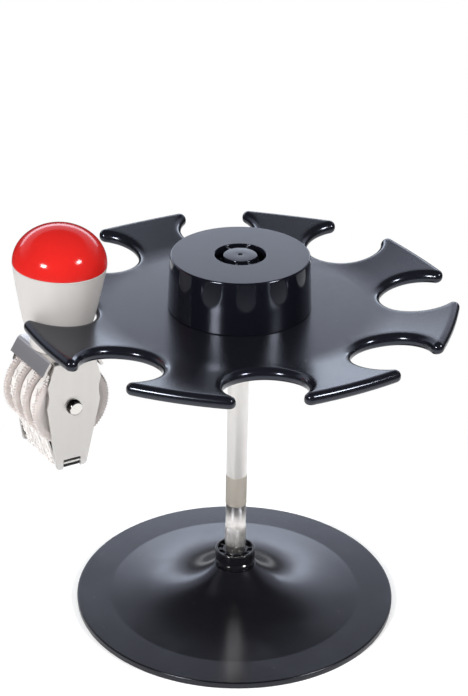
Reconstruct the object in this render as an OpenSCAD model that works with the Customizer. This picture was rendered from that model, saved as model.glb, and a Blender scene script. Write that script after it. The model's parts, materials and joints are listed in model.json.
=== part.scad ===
// Desk carousel for eight rubber stamps, with one date stamp hanging in a slot.
// Millimetres, +Z up. The origin is on the pole's axis, at the level of the table.
// The slot that holds the date stamp lies along -X.

/* [Base] */
// Diameter of the round base
base_d = 117.4; // [100:0.2:140]
// Thickness of the base's pressed sheet
sheet_t = 1; // [0.8:0.1:1.2]
// Height at which the turned-down rim ends above the table
rim_gap = 0.1; // [0.1:0.1:0.8]
// Radius at which the base starts to rise to its hub
flare_r = 46.5; // [42:0.5:50]
// Radius of the hub's flat top
hub_r = 7.7; // [7.5:0.1:9]
// Height of the hub's top above the table
hub_top_z = 14.2; // [12:0.1:18]
// Thickness of the foam pad under the base
pad_t = 1.4; // [0.8:0.1:1.5]
// Radius of the ballast disc
ballast_r = 19; // [14:0.5:19]
// Thickness of the ballast disc
ballast_t = 3; // [2.4:0.1:3.2]

/* [Pole] */
// Radius of the pole
pole_r = 3.7; // [3.4:0.1:4.2]
// Height of the shoulder that carries the carousel
shoulder_z = 112.9; // [105:0.1:130]
// Radius of the journal above the shoulder
journal_r = 2.5; // [2.2:0.1:2.8]
// Length of the journal
journal_len = 12.1; // [11.6:0.1:13]
// Height at which the lower knurl starts
low_knurl_z = 22.5; // [21:0.5:26]
// Length of the lower knurl
low_knurl_len = 8.5; // [6:0.5:10]
// Height at which the upper knurl starts
high_knurl_z = 39.8; // [38:0.1:60]
// Length of the upper knurl
high_knurl_len = 12.3; // [8:0.1:14]
// How far the knurls stand proud of the pole
knurl_rise = 0.15; // [0.1:0.05:0.25]
// Outer radius of the collar on the hub
collar_r = 7.35; // [6.6:0.05:7.5]
// Height of the collar
collar_h = 6.4; // [5:0.1:7]

/* [Carousel] */
// Reach of the plate at the middle of a finger
plate_r = 75; // [70:0.5:85]
// Thickness of the plate
plate_t = 4.4; // [4:0.1:5]
// How far in from a finger's outer edge the middle of a slot lies
slot_inset = 11.6; // [11:0.1:12]
// Radius of a slot
slot_r = 13.7; // [13.5:0.1:14]
// Radius of the finger tips in plan
tip_r = 2.3; // [1.6:0.1:3.2]
// Radius of the arc along a finger's outer edge
edge_arc_r = 193; // [150:1:260]
// Radius of the plate's rounded top edge
top_round = 2.4; // [1.2:0.1:2.4]
// Radius of the plate's rounded bottom edge
bottom_round = 1.5; // [0.8:0.1:1.5]
// How far in from a slot's inner end the fingers start to rise
rise_inset = 0.5; // [0.2:0.1:3]
// How far the fingers have risen at their outer edge
finger_rise = 3.8; // [0:0.1:5]
// Radius of the knob at the plate
knob_r = 25; // [23:0.1:27]
// Radius of the knob at its top
knob_top_r = 24.1; // [22.5:0.1:25]
// Height of the knob
knob_h = 19; // [18:0.1:24]
// Wall of the knob
knob_wall = 2.2; // [1.8:0.1:2.6]
// Outer radius of the ring groove in the knob's top
groove_r = 8.85; // [8:0.05:9.5]
// Radius of the disc inside the groove
groove_disc_r = 5.85; // [5:0.05:6.5]
// Depth of the ring groove
groove_depth = 4.5; // [3:0.1:5]
// Distance of the knob's screws from the axis
knob_screw_at = 17; // [15:0.5:18]

/* [Date stamp handle] */
// How far the stamp sits from the slot's middle, towards the pole
stamp_shift = 0.68; // [0:0.01:0.7]
// Angle by which the stamp's top leans to the pole
stamp_lean = 3; // [0:0.1:3]
// Angle by which the stamp is turned in its slot
stamp_turn = 26.2; // [-90:0.1:90]
// Radius of the handle at the seam with its cap
seam_r = 16.2; // [15:0.05:17]
// Height of the seam above the plate's top
seam_w = 18.4; // [16:0.1:22]
// How much smaller than the slot the bottom of the handle's cone is, in radius
cone_clear = 2.8; // [2.3:0.1:3]
// Depth of the cone's bottom below the plate's top
cone_depth = 6; // [6:0.1:7]
// Radius of the handle's neck
neck_r = 9.5; // [8:0.1:10]
// Height of the red cap above the seam
cap_h = 13.6; // [10:0.1:18]
// Wall of the handle and its cap
handle_wall = 2.2; // [1.8:0.1:2.6]

/* [Date stamp frame] */
// Depth of the frame's top below the plate's top
frame_depth = 12; // [12:0.1:15]
// Width of the frame along the axle, over both cheeks
frame_w = 25.5; // [24:0.1:28]
// Thickness of the frame's sheet
frame_t = 1; // [0.8:0.1:1.2]
// Half the width of the frame's flat top
top_half = 8.1; // [7.6:0.1:9]
// How far each bent flange reaches out from the flat top
flange_out = 2.8; // [2:0.1:3.6]
// How far each bent flange reaches down
flange_down = 4.8; // [4:0.1:5.4]
// Half the width of a cheek at its widest
cheek_half = 10.5; // [9.6:0.1:10.8]
// Half the width of a cheek at its foot
foot_half = 5.8; // [5.2:0.05:6.5]
// Distance of the axle below the frame's top
axle_drop = 18.7; // [17.3:0.1:19.4]
// Distance of the feet below the axle
foot_drop = 24; // [23:0.1:26]
// Half the width of the notch between a cheek's feet
notch_half = 3.4; // [3:0.1:3.6]
// Height of the notch between a cheek's feet
notch_h = 3.6; // [3.2:0.1:4]
// Radius of the axle
axle_r = 2.5; // [2:0.1:3]
// How far the axle stands out of each cheek
axle_out = 2; // [0.8:0.1:2.4]

/* [Date wheels and bands] */
// Radius of the toothed rims
rim_r = 15; // [14.5:0.05:15.6]
// Depth of the teeth
tooth_h = 0.75; // [0.4:0.05:0.9]
// Number of teeth on a rim
teeth = 84; // [60:1:96]
// Thickness of a rim
rim_t = 1.5; // [1.2:0.1:1.7]
// Radius of the drums that carry the bands
drum_r = 11.6; // [11:0.1:12]
// Thickness of a band
band_t = 1; // [0.8:0.1:1.2]
// Height of the raised type on a band
type_h = 0.7; // [0.4:0.1:0.8]

/* [Hidden] */
$fn = 72;

EPS = 0.01;
FIT = 0.02;          // radial gap of a pressed or threaded fit
RUN = 0.05;          // radial gap of a running fit
BAND_GAP = 0.15;      // gap between a band and what it runs on
AXIAL_GAP = 0.1;     // end play under the carousel's bush
SLOTS = 8;
SLOT_STEP = 360 / SLOTS;

// Base
base_r = base_d / 2;
base_flat_z = pad_t + sheet_t;
edge_round = 0.5;
flare_start = 0.16;    // share of the height that rises evenly
flare_power = 3.6;
flare_steps = 14;
core_steps = 8;
core_gap = 0.05;
hub_bore_r = pole_r + FIT;
ballast_z = pad_t + 0.1;
ballast_top = ballast_z + ballast_t;
pole_z = ballast_top + 0.3;
pad_r = base_r - sheet_t - 0.8;
screw_r = 2;
screw_head_r = 4;
screw_head_h = 2;
screw_len = 13;
collar_z = hub_top_z;
collar_top = collar_z + collar_h;
collar_groove = 0.4;
collar_groove_z = collar_z + 2.2;
collar_recess = 1.2;
collar_ribs = 10;

// Carousel
slot_at = plate_r - slot_inset;
flat_r = slot_at - slot_r - rise_inset;
thrust_t = 0.8;
thrust_r = 6;
bush_z = shoulder_z + thrust_t + AXIAL_GAP;
bush_flange_r = 7;
bush_flange_t = 2.1;
plate_under = bush_z + bush_flange_t;
plate_top = plate_under + plate_t;
bush_r = 5;
journal_top = shoulder_z + journal_len;
bush_top = journal_top - 0.2;
top_washer_r = 4.5;
top_washer_t = 0.8;
top_screw_r = 1.5;
top_screw_head_r = 2.75;
top_screw_head_h = 1.9;
top_screw_len = 8;
knob_top = plate_top + knob_h;
knob_edge = 0.3;
knob_screw_r = 1.5;
knob_screw_head_r = 2.8;
knob_screw_head_h = 1.8;
knob_screw_len = 9;
knob_boss_r = 3.4;
knob_boss_h = 12;
knob_ribs = [66, 114, 252, 288];
rib_t = 0.8;

// Date stamp, in its own frame: X across a cheek, Y along the axle, Z up the handle
stamp_at = slot_at - stamp_shift;
cone_r = slot_r - cone_clear;
cone_w = -cone_depth;
cone_power = 0.75;
cone_steps = 10;
cone_fillet = 1;
web_w = -frame_depth;
stud_r = 3;
stud_top = -1;
stud_head_r = 4.2;
stud_head_h = 0.55;
axle_w = web_w - axle_drop;
foot_w = axle_w - foot_drop;
cheek_in = frame_w / 2 - frame_t;
grip_low = 1.2;
grip_high = 9.4;
grip_deep = 0.75;
foot_round = 0.8;

// Wheels: from the far cheek to the near one
side_gap = 0.4;
wheel_gap = 0.2;
drum_w = (2 * cheek_in - 2 * side_gap - 4 * rim_t - 2 * wheel_gap) / 3;
band_w = drum_w - 0.3;
year_y = cheek_in - side_gap;
month_y = year_y - 2 * rim_t - drum_w - wheel_gap;
day_y = month_y - drum_w - rim_t - wheel_gap;
year_band_y = year_y - rim_t - drum_w / 2;
month_band_y = month_y - drum_w / 2;
day_band_y = day_y - drum_w / 2;
nose_r = 1.4;
nose_x = 2.9;
nose_w = foot_w + 0.2 + nose_r;
platen_gap = 0.1;
platen_h = 3.7;
tongue_t = 0.8;
tongue_w = foot_w + 1.9;
loop_r = drum_r + BAND_GAP;

// ---------------------------------------------------------------- shared

function turn(p, a) = [p[0] * cos(a) - p[1] * sin(a), p[0] * sin(a) + p[1] * cos(a)];
function arc(c, r, a0, a1, n, first = 0) =
    [for (i = [first : n]) let (a = a0 + (a1 - a0) * i / n) [c[0] + r * cos(a), c[1] + r * sin(a)]];

module ring(r_out, r_in, h) {
    difference() {
        cylinder(r = r_out, h = h);
        translate([0, 0, -1]) cylinder(r = r_in, h = h + 2);
    }
}

// A pan-head screw that points up, with its head's underside at z = 0
module screw_up(r, len, head_r, head_h) {
    translate([0, 0, -EPS]) cylinder(r = r, h = len + EPS);
    translate([0, 0, -head_h]) cylinder(r = head_r, h = head_h);
}

// The date stamp's frame, set in its slot
module in_stamp() {
    translate([-stamp_at, 0, plate_top])
        rotate([0, stamp_lean, 0])
            rotate([0, 0, stamp_turn])
                children();
}

// ---------------------------------------------------------------- base

// Height of the base's top surface at a radius. The rise starts at once, with a slight slope,
// and steepens to the hub.
function flare_z(r) = let (u = max(0, flare_r - r) / (flare_r - hub_r))
    base_flat_z + (hub_top_z - base_flat_z) * (flare_start * u + (1 - flare_start) * pow(u, flare_power));
function flare_line(r0, r1, n, drop) =
    [for (i = [0 : n]) let (r = r0 + (r1 - r0) * i / n) [r, flare_z(r) - drop]];

module base_disc() {
    outside = concat(
        [[base_r, rim_gap]],
        arc([base_r - edge_round, base_flat_z - edge_round], edge_round, 0, 90, 4),
        flare_line(flare_r, hub_r, flare_steps, 0));
    inside = concat(
        [[hub_bore_r, hub_top_z], [hub_bore_r, hub_top_z - sheet_t]],
        flare_line(hub_r, flare_r, flare_steps, sheet_t),
        [[base_r - sheet_t, base_flat_z - sheet_t], [base_r - sheet_t, rim_gap]]);
    color([0.07, 0.07, 0.08]) rotate_extrude($fn = 120) polygon(concat(outside, inside));
}

module base_pad() {
    color([0.16, 0.16, 0.17]) cylinder(r = pad_r, h = pad_t);
}

module ballast_disc() {
    color([0.45, 0.45, 0.47]) difference() {
        translate([0, 0, ballast_z]) cylinder(r = ballast_r, h = ballast_t);
        cylinder(r = screw_r + FIT, h = hub_top_z);
        translate([0, 0, ballast_z - EPS])
            cylinder(r1 = screw_head_r + EPS, r2 = screw_r, h = screw_head_h);
    }
}

// Fills the hollow under the hub, from the ballast disc up
module hub_core() {
    core_r = ballast_r - 3;
    line = [for (p = flare_line(core_r, hub_r, core_steps, sheet_t + core_gap))
        [p[0], max(ballast_top + EPS, p[1])]];
    color([0.1, 0.1, 0.11]) rotate_extrude()
        polygon(concat([[hub_bore_r, ballast_top], [core_r, ballast_top]], line,
            [[hub_bore_r, hub_top_z - sheet_t - core_gap]]));
}

module base_screw() {
    color([0.7, 0.7, 0.72]) translate([0, 0, ballast_z]) {
        cylinder(r1 = screw_head_r, r2 = screw_r - FIT, h = screw_head_h);
        cylinder(r = screw_r - FIT, h = screw_len);
    }
}

// A ring round the pole, grooved outside and recessed on top, with small ribs in the recess
module base_collar() {
    wall_r = collar_r - 1;
    color([0.05, 0.05, 0.06]) translate([0, 0, collar_z]) {
        difference() {
            ring(collar_r, hub_bore_r, collar_h);
            translate([0, 0, collar_groove_z - collar_z]) ring(collar_r + 1, collar_r - collar_groove, collar_groove);
            translate([0, 0, collar_h - collar_recess]) cylinder(r = wall_r, h = collar_recess + 1);
        }
        for (i = [0 : collar_ribs - 1])
            rotate([0, 0, 360 / collar_ribs * i])
                translate([hub_bore_r + 0.5, -rib_t / 4, collar_h - collar_recess - EPS])
                    cube([wall_r - hub_bore_r - 0.4, rib_t / 2, collar_recess - 0.5]);
    }
}

// ---------------------------------------------------------------- pole

// A straight knurl: shallow ridges all round
module knurl(z, len, ridges = 40) {
    translate([0, 0, z]) linear_extrude(height = len)
        polygon([for (i = [0 : 2 * ridges - 1]) let (r = pole_r + (i % 2 == 0 ? knurl_rise : 0.02))
            [r * cos(180 / ridges * i), r * sin(180 / ridges * i)]]);
}

module pole() {
    color([0.75, 0.74, 0.73]) difference() {
        union() {
            translate([0, 0, pole_z]) cylinder(r = pole_r, h = shoulder_z - pole_z);
            translate([0, 0, shoulder_z - EPS]) cylinder(r = journal_r, h = journal_len + EPS);
            knurl(low_knurl_z, low_knurl_len);
            knurl(high_knurl_z, high_knurl_len);
        }
        translate([0, 0, pole_z - 1]) cylinder(r = screw_r, h = screw_len);
        translate([0, 0, journal_top - top_screw_len]) cylinder(r = top_screw_r, h = top_screw_len + 1);
    }
}

module thrust_washer() {
    color([0.8, 0.68, 0.35]) translate([0, 0, shoulder_z]) ring(thrust_r, journal_r + FIT, thrust_t);
}

module top_washer() {
    color([0.72, 0.72, 0.74]) translate([0, 0, journal_top])
        ring(top_washer_r, top_screw_r + FIT, top_washer_t);
}

module top_screw() {
    color([0.7, 0.7, 0.72]) translate([0, 0, journal_top + top_washer_t])
        mirror([0, 0, 1]) screw_up(top_screw_r - FIT, top_screw_len - 1, top_screw_head_r, top_screw_head_h);
}

// ---------------------------------------------------------------- carousel

// Plan of the plate: a slot circle, a tip circle that touches it, and a flat arc along the
// finger's outer edge. Half a finger, from its middle on +X to the axis of the next slot.
half_step = SLOT_STEP / 2;
slot_mid = turn([slot_at, 0], half_step);
edge_mid = [plate_r - edge_arc_r, 0];
to_slot = slot_mid - edge_mid;
tip_least = 0.4;
edge_steps = 3;
tip_steps = 7;
slot_steps = 10;

// The small circle at a finger's tip: its middle and its radius
function tip(inset) = let (
    r = max(tip_r - inset, tip_least),
    reach = edge_arc_r - inset - r,
    gap = slot_r + inset + r,
    ahead = to_slot / norm(to_slot),
    along = (reach * reach - gap * gap + to_slot * to_slot) / (2 * norm(to_slot)))
    [edge_mid + ahead * along + turn(ahead, -90) * sqrt(reach * reach - along * along), r];
function half_finger(inset) = let (
    t = tip(inset),
    edge_end = atan2(t[0][1] - edge_mid[1], t[0][0] - edge_mid[0]),
    tip_end = atan2(slot_mid[1] - t[0][1], slot_mid[0] - t[0][0]))
    concat(
        arc(edge_mid, edge_arc_r - inset, 0, edge_end, edge_steps),
        arc(t[0], t[1], edge_end, tip_end, tip_steps, 1),
        arc(slot_mid, slot_r + inset, tip_end + 180, half_step + 180, slot_steps, 1));
half_count = len(half_finger(0));
finger_count = 2 * half_count - 2;
ring_count = SLOTS * finger_count;

function finger(inset) = let (h = half_finger(inset))
    [for (j = [1 - half_count : half_count - 2]) j < 0 ? [h[-j][0], -h[-j][1]] : h[j]];
function rise(r) = finger_rise * max(0, r - flat_r) / (plate_r - flat_r);
function plate_ring(inset, z) = let (f = finger(inset))
    [for (k = [0 : SLOTS - 1], p = f) let (q = turn(p, half_step + SLOT_STEP * k))
        [q[0], q[1], z + rise(norm(q))]];

plate_levels = concat(
    [for (a = [90, 45, 0]) [bottom_round * (1 - cos(a)), plate_under + bottom_round * (1 - sin(a))]],
    [for (a = [0, 30, 60, 90]) [top_round * (1 - cos(a)), plate_top - top_round * (1 - sin(a))]]);
top_level = len(plate_levels) - 1;

function at(level, i) = level * ring_count + (i + ring_count) % ring_count;
// The two ends of the rung that crosses finger k, j points from its middle
function rung(level, k, j) = let (mid = k * finger_count + half_count - 1)
    [at(level, mid - j), at(level, mid + j)];
function rung_face(level, k, j) = let (a = rung(level, k, j), b = rung(level, k, j + 1))
    j == 0 ? [a[0], b[0], b[1]] : [a[0], b[0], b[1], a[1]];
function flip(f) = [for (i = [len(f) - 1 : -1 : 0]) f[i]];

module plate_body() {
    points = [for (l = plate_levels) each plate_ring(l[0], l[1])];
    sides = [for (l = [0 : top_level - 1], i = [0 : ring_count - 1])
        each [[at(l, i), at(l + 1, i), at(l + 1, i + 1)], [at(l, i), at(l + 1, i + 1), at(l, i + 1)]]];
    tops = [for (k = [0 : SLOTS - 1], j = [0 : half_count - 2]) rung_face(top_level, k, j)];
    unders = [for (k = [0 : SLOTS - 1], j = [0 : half_count - 2]) flip(rung_face(0, k, j))];
    middle = [for (k = [SLOTS - 1 : -1 : 0]) at(top_level, k * finger_count)];
    under_middle = [for (k = [0 : SLOTS - 1]) at(0, k * finger_count)];
    polyhedron(points, concat(sides, tops, unders, [middle, under_middle]), convexity = 8);
}

module at_knob_screws() {
    for (i = [0 : 2]) rotate([0, 0, 120 * i + 30]) translate([knob_screw_at, 0, 0]) children();
}

module carousel_plate() {
    color([0.08, 0.08, 0.1]) difference() {
        plate_body();
        translate([0, 0, plate_under - 1]) cylinder(r = bush_r + FIT, h = plate_t + 2);
        at_knob_screws() translate([0, 0, plate_under - 1]) cylinder(r = knob_screw_r, h = plate_t + 2, $fn = 24);
    }
}

module hub_bush() {
    color([0.9, 0.9, 0.88]) translate([0, 0, bush_z]) difference() {
        union() {
            cylinder(r = bush_flange_r, h = bush_flange_t);
            cylinder(r = bush_r, h = bush_top - bush_z);
        }
        translate([0, 0, -1]) cylinder(r = journal_r + RUN, h = bush_top - bush_z + 2);
    }
}

// A hollow cap with a ring groove in its top, and bosses inside for three screws
module knob() {
    groove_z = knob_top - groove_depth;
    roof_z = knob_top - knob_wall;
    well_r = groove_r + knob_wall - 0.4;
    well_z = groove_z - knob_wall + 0.4;
    color([0.05, 0.05, 0.06]) {
        rotate_extrude($fn = 120) polygon([[knob_r, plate_top], [knob_top_r, knob_top - knob_edge],
            [knob_top_r - knob_edge, knob_top], [groove_r, knob_top], [groove_r, groove_z],
            [groove_disc_r, groove_z], [groove_disc_r, knob_top - 0.2], [groove_disc_r - 0.2, knob_top],
            [0.8, knob_top], [0, knob_top - 0.4], [0, well_z], [well_r, well_z], [well_r, roof_z],
            [knob_top_r - knob_wall, roof_z], [knob_r - knob_wall, plate_top]]);
        for (a = knob_ribs)
            rotate([0, 0, a])
                translate([groove_disc_r - 0.3, -rib_t / 2, groove_z - EPS])
                    cube([groove_r - groove_disc_r + 0.6, rib_t, groove_depth - 0.8]);
        at_knob_screws() difference() {
            translate([0, 0, plate_top]) cylinder(r = knob_boss_r, h = roof_z - plate_top + EPS, $fn = 24);
            translate([0, 0, plate_top - 1]) cylinder(r = knob_screw_r, h = knob_boss_h, $fn = 24);
        }
    }
}

module knob_screws() {
    color([0.7, 0.7, 0.72]) at_knob_screws() translate([0, 0, plate_under])
        screw_up(knob_screw_r - FIT, plate_t + knob_screw_len, knob_screw_head_r, knob_screw_head_h);
}

// ---------------------------------------------------------------- date stamp: handle

// Radius of the handle's cone at a height above the plate's top
function cone_at(w) = cone_r + (seam_r - cone_r) * pow(max(0, (w - cone_w) / (seam_w - cone_w)), cone_power);
function cone_line(w0, w1, n, wall) =
    [for (i = [0 : n]) let (w = w0 + (w1 - w0) * i / n) [cone_at(w) - wall, w]];
function dome(r, h, n) = [for (i = [0 : n]) let (a = 90 * i / n) [r * cos(a), seam_w + h * sin(a)]];
hollow_w = cone_w + 9;

module handle_body() {
    outside = concat(
        [[neck_r, web_w], [neck_r, cone_w - cone_fillet / 2], [cone_r - cone_fillet, cone_w - cone_fillet / 2]],
        cone_line(cone_w, seam_w, cone_steps, 0));
    inside = concat(
        cone_line(seam_w, hollow_w, 6, handle_wall),
        [[stud_r + FIT, hollow_w], [stud_r + FIT, web_w]]);
    color([0.82, 0.8, 0.78]) in_stamp() rotate_extrude($fn = 96) polygon(concat(outside, inside));
}

module handle_cap() {
    plug_r = cone_at(seam_w - 3) - handle_wall - 0.05;
    color([0.85, 0.08, 0.06]) in_stamp() rotate_extrude($fn = 96) polygon(concat(
        dome(seam_r, cap_h, 14),
        flip(dome(seam_r - handle_wall - 1.6, cap_h - handle_wall, 8)),
        [[plug_r - 1.4, seam_w - 3], [plug_r, seam_w - 3], [plug_r, seam_w]]));
}

// A stud in the handle, riveted over under the frame's top
module handle_stud() {
    color([0.7, 0.7, 0.7]) in_stamp() {
        translate([0, 0, web_w - frame_t - EPS]) cylinder(r = stud_r, h = stud_top - web_w + frame_t + EPS);
        translate([0, 0, web_w - frame_t - stud_head_h]) cylinder(r = stud_head_r, h = stud_head_h);
    }
}

// ---------------------------------------------------------------- date stamp: frame

module cheek_plan() {
    grip_half = (grip_high - grip_low) / 2;
    grip_r = (grip_half * grip_half + grip_deep * grip_deep) / (2 * grip_deep);
    grip_w = axle_w + (grip_high + grip_low) / 2;
    difference() {
        polygon([[-top_half, web_w], [-cheek_half, axle_w + grip_high], [-cheek_half, axle_w + grip_low],
            [-foot_half, foot_w + foot_round], [-foot_half + foot_round, foot_w],
            [foot_half - foot_round, foot_w], [foot_half, foot_w + foot_round],
            [cheek_half, axle_w + grip_low], [cheek_half, axle_w + grip_high], [top_half, web_w]]);
        for (s = [-1, 1])
            translate([s * (cheek_half + grip_r - grip_deep), grip_w]) circle(r = grip_r, $fn = 96);
        translate([-notch_half, foot_w - 1]) square([2 * notch_half, notch_h + 1]);
        translate([0, axle_w]) circle(r = axle_r + FIT);
    }
}

// The bent sheet: a flat top, a sloping flange on each side, and a notched cheek at each end
module stamp_frame() {
    run = norm([flange_out, flange_down]);
    in_x = frame_t * flange_down / run;
    in_w = frame_t * flange_out / run;
    low = [top_half + flange_out, web_w - flange_down];
    relief = 0.1;
    color([0.74, 0.72, 0.7]) in_stamp() difference() {
        union() {
            rotate([90, 0, 0]) translate([0, 0, -frame_w / 2]) linear_extrude(height = frame_w)
                polygon([[-top_half, web_w], [top_half, web_w], low, low - [in_x, in_w],
                    [top_half - in_x, web_w - frame_t], [in_x - top_half, web_w - frame_t],
                    [in_x - low[0], low[1] - in_w], [-low[0], low[1]]]);
            for (s = [-1, 1])
                translate([0, s * (cheek_in + frame_t / 2), 0]) rotate([90, 0, 0])
                    translate([0, 0, -frame_t / 2]) linear_extrude(height = frame_t) cheek_plan();
        }
        translate([0, 0, web_w - 5]) cylinder(r = stud_r + FIT, h = 10);
        for (s = [-1, 1], t = [-1, 1])
            translate([s * (top_half + flange_out) - 2, t * (frame_w / 2) - (t + 1) / 2 * (frame_t + relief),
                web_w - flange_down - 1]) cube([4, frame_t + relief, flange_down + 0.2]);
    }
}

module wheel_axle() {
    len = frame_w + 2 * axle_out;
    bevel = 0.3;
    color([0.75, 0.73, 0.7]) in_stamp() translate([0, 0, axle_w]) rotate([90, 0, 0])
        translate([0, 0, -len / 2]) {
            translate([0, 0, bevel]) cylinder(r = axle_r, h = len - 2 * bevel);
            cylinder(r1 = axle_r - bevel, r2 = axle_r, h = bevel);
            translate([0, 0, len - bevel]) cylinder(r1 = axle_r, r2 = axle_r - bevel, h = bevel);
        }
}

// The bar that the bands turn round, with its ends in the cheeks' notches
module platen() {
    nose_in = nose_r - platen_gap;
    end_len = frame_t + 0.4;
    end_mid = (frame_w - 0.2 - end_len) / 2;
    color([0.06, 0.06, 0.07]) in_stamp() difference() {
        union() {
            rotate([90, 0, 0]) translate([0, 0, 0.3 - cheek_in]) linear_extrude(height = 2 * cheek_in - 0.6) {
                for (s = [-1, 1]) translate([s * nose_x, nose_w]) circle(r = nose_in, $fn = 24);
                translate([-nose_x, nose_w - nose_in]) square([2 * nose_x, platen_h]);
                translate([-nose_x - nose_in, nose_w]) square([2 * (nose_x + nose_in), platen_h - nose_in]);
            }
            for (s = [-1, 1])
                translate([0.1 - notch_half, s * end_mid - end_len / 2, foot_w + 0.2])
                    cube([2 * notch_half - 0.2, end_len, notch_h - 0.4]);
        }
        translate([-notch_half + 0.1, -frame_w, tongue_w])
            cube([2 * notch_half - 0.2, 2 * frame_w, tongue_t]);
    }
}

module platen_tongue() {
    color([0.78, 0.76, 0.73]) in_stamp()
        translate([-notch_half + 0.1, -frame_w / 2, tongue_w]) cube([2 * notch_half - 0.2, frame_w, tongue_t]);
}

// ---------------------------------------------------------------- date stamp: wheels and bands

// A toothed rim, whose near face is at y
module rim(y) {
    translate([0, y, axle_w]) rotate([90, 0, 0]) linear_extrude(height = rim_t)
        polygon([for (i = [0 : 2 * teeth - 1]) let (r = rim_r - (i % 2) * tooth_h)
            [r * cos(180 / teeth * i), r * sin(180 / teeth * i)]]);
}

module drum(y) {
    translate([0, y, axle_w]) rotate([90, 0, 0]) translate([0, 0, -EPS])
        cylinder(r = drum_r, h = drum_w + 2 * EPS);
}

module bored(shade) {
    color(shade) in_stamp() difference() {
        union() children();
        translate([0, 0, axle_w]) rotate([90, 0, 0]) translate([0, 0, -frame_w])
            cylinder(r = axle_r + RUN, h = 2 * frame_w);
    }
}

module year_wheel() {
    bored([0.9, 0.86, 0.84]) {
        rim(year_y);
        drum(year_y - rim_t);
        rim(year_y - rim_t - drum_w);
    }
}

module month_wheel() {
    bored([0.9, 0.86, 0.84]) {
        drum(month_y);
        rim(month_y - drum_w);
    }
}

module day_wheel() {
    bored([0.9, 0.86, 0.84]) {
        drum(day_y);
        rim(day_y - drum_w);
    }
}

// The loop that a band follows: round the drum, and round the platen's two rounded corners
drum_c = [0, axle_w];
nose_c = [nose_x, nose_w];
run_vec = nose_c - drum_c;
run_normal = atan2(run_vec[1], run_vec[0]) + acos((loop_r - nose_r) / norm(run_vec));
function loop(grow) = concat(
    arc(drum_c, loop_r + grow, run_normal, 180 - run_normal, 36),
    arc([-nose_x, nose_w], nose_r + grow, 180 - run_normal, 270, 4),
    arc(nose_c, nose_r + grow, 270, 360 + run_normal, 4));

module band_slab(y, w, grow) {
    translate([0, y + w / 2, 0]) rotate([90, 0, 0]) linear_extrude(height = w) polygon(loop(grow));
}

type_len = 3.2;
type_w = 3.4;

module type_block() {
    translate([-EPS, -type_w / 2, -type_len / 2]) cube([type_h + EPS, type_w, type_len]);
}

// A band with raised type on its outside; lag shifts the type along it
module band(y, lag) {
    run_len = norm(run_vec) * sin(acos((loop_r - nose_r) / norm(run_vec)));
    pitch = 5.4;
    arc_type = 30;
    color([0.93, 0.9, 0.88]) in_stamp() {
        difference() {
            band_slab(y, band_w, band_t);
            band_slab(y, band_w + 1, 0);
        }
        for (a = [run_normal + 20 + lag : arc_type : 165 - run_normal])
            translate([0, y, axle_w]) rotate([0, -a, 0]) translate([loop_r + band_t - 0.1, 0, 0]) type_block();
        for (s = [0, 1], i = [0 : 2])
            mirror([s, 0, 0]) translate([0, y, axle_w]) rotate([0, -run_normal, 0])
                translate([loop_r + band_t, 0, -run_len + 2.5 + lag / 8 + pitch * i]) type_block();
        translate([0, y, foot_w + 0.2 - band_t]) rotate([0, 90, 0]) type_block();
    }
}

module year_band() { band(year_band_y, 0); }
module month_band() { band(month_band_y, 8); }
module day_band() { band(day_band_y, 4); }

base_disc();
base_pad();
ballast_disc();
hub_core();
base_screw();
base_collar();
pole();
thrust_washer();
top_washer();
top_screw();
carousel_plate();
hub_bush();
knob();
knob_screws();
handle_body();
handle_cap();
handle_stud();
stamp_frame();
wheel_axle();
platen();
platen_tongue();
year_wheel();
month_wheel();
day_wheel();
year_band();
month_band();
day_band();
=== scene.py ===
# %% [markdown]
# # A desk carousel for rubber stamps
# A round base carries a bright pole, and a plate with eight open slots turns on the pole. One
# date stamp hangs in a slot. The solid model is the fixed frame. This file gives each piece
# that the eye meets a mesh fine enough for its highlights, and a finish made of nodes.

# %% Load the solid model
import json
import math

import bmesh
import bpy
from mathutils import Matrix, Vector


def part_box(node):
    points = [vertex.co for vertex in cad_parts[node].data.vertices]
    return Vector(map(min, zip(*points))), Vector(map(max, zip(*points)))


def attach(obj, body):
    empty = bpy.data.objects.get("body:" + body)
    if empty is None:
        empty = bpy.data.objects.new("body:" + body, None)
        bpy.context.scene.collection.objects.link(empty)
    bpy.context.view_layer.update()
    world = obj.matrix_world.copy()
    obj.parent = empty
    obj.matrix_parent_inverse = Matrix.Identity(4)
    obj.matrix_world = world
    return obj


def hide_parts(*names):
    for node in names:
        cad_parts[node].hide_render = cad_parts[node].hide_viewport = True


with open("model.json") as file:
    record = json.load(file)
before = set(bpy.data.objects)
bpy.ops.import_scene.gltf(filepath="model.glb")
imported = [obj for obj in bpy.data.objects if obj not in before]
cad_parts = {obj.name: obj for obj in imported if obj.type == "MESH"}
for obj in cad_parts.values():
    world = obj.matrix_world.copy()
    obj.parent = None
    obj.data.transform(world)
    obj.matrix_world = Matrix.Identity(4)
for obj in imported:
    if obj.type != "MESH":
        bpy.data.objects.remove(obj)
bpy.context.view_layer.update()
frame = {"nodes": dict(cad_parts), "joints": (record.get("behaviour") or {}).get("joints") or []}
nodes = frame["nodes"]
joints = {joint["name"]: joint for joint in frame["joints"]}

# %% [markdown]
# ## Camera
# The photograph looks down on the carousel from a little to the left of the pole. Three angles
# and a distance say this more plainly than a target would: yaw turns the view to the right,
# pitch tips it down, and a small roll sets the horizon. The lens is long, so the plate keeps
# nearly the same shape at its front and its back.

# %% Camera
MM = 0.001
PHOTO_HEIGHT = 696
FOCAL_PIXELS = 1959.2
SENSOR = 36.0
CAMERA_AT = Vector((-0.0857, -0.6064, 0.4150))
YAW, PITCH, ROLL = math.radians(7.89), math.radians(26.98), math.radians(0.93)

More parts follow.
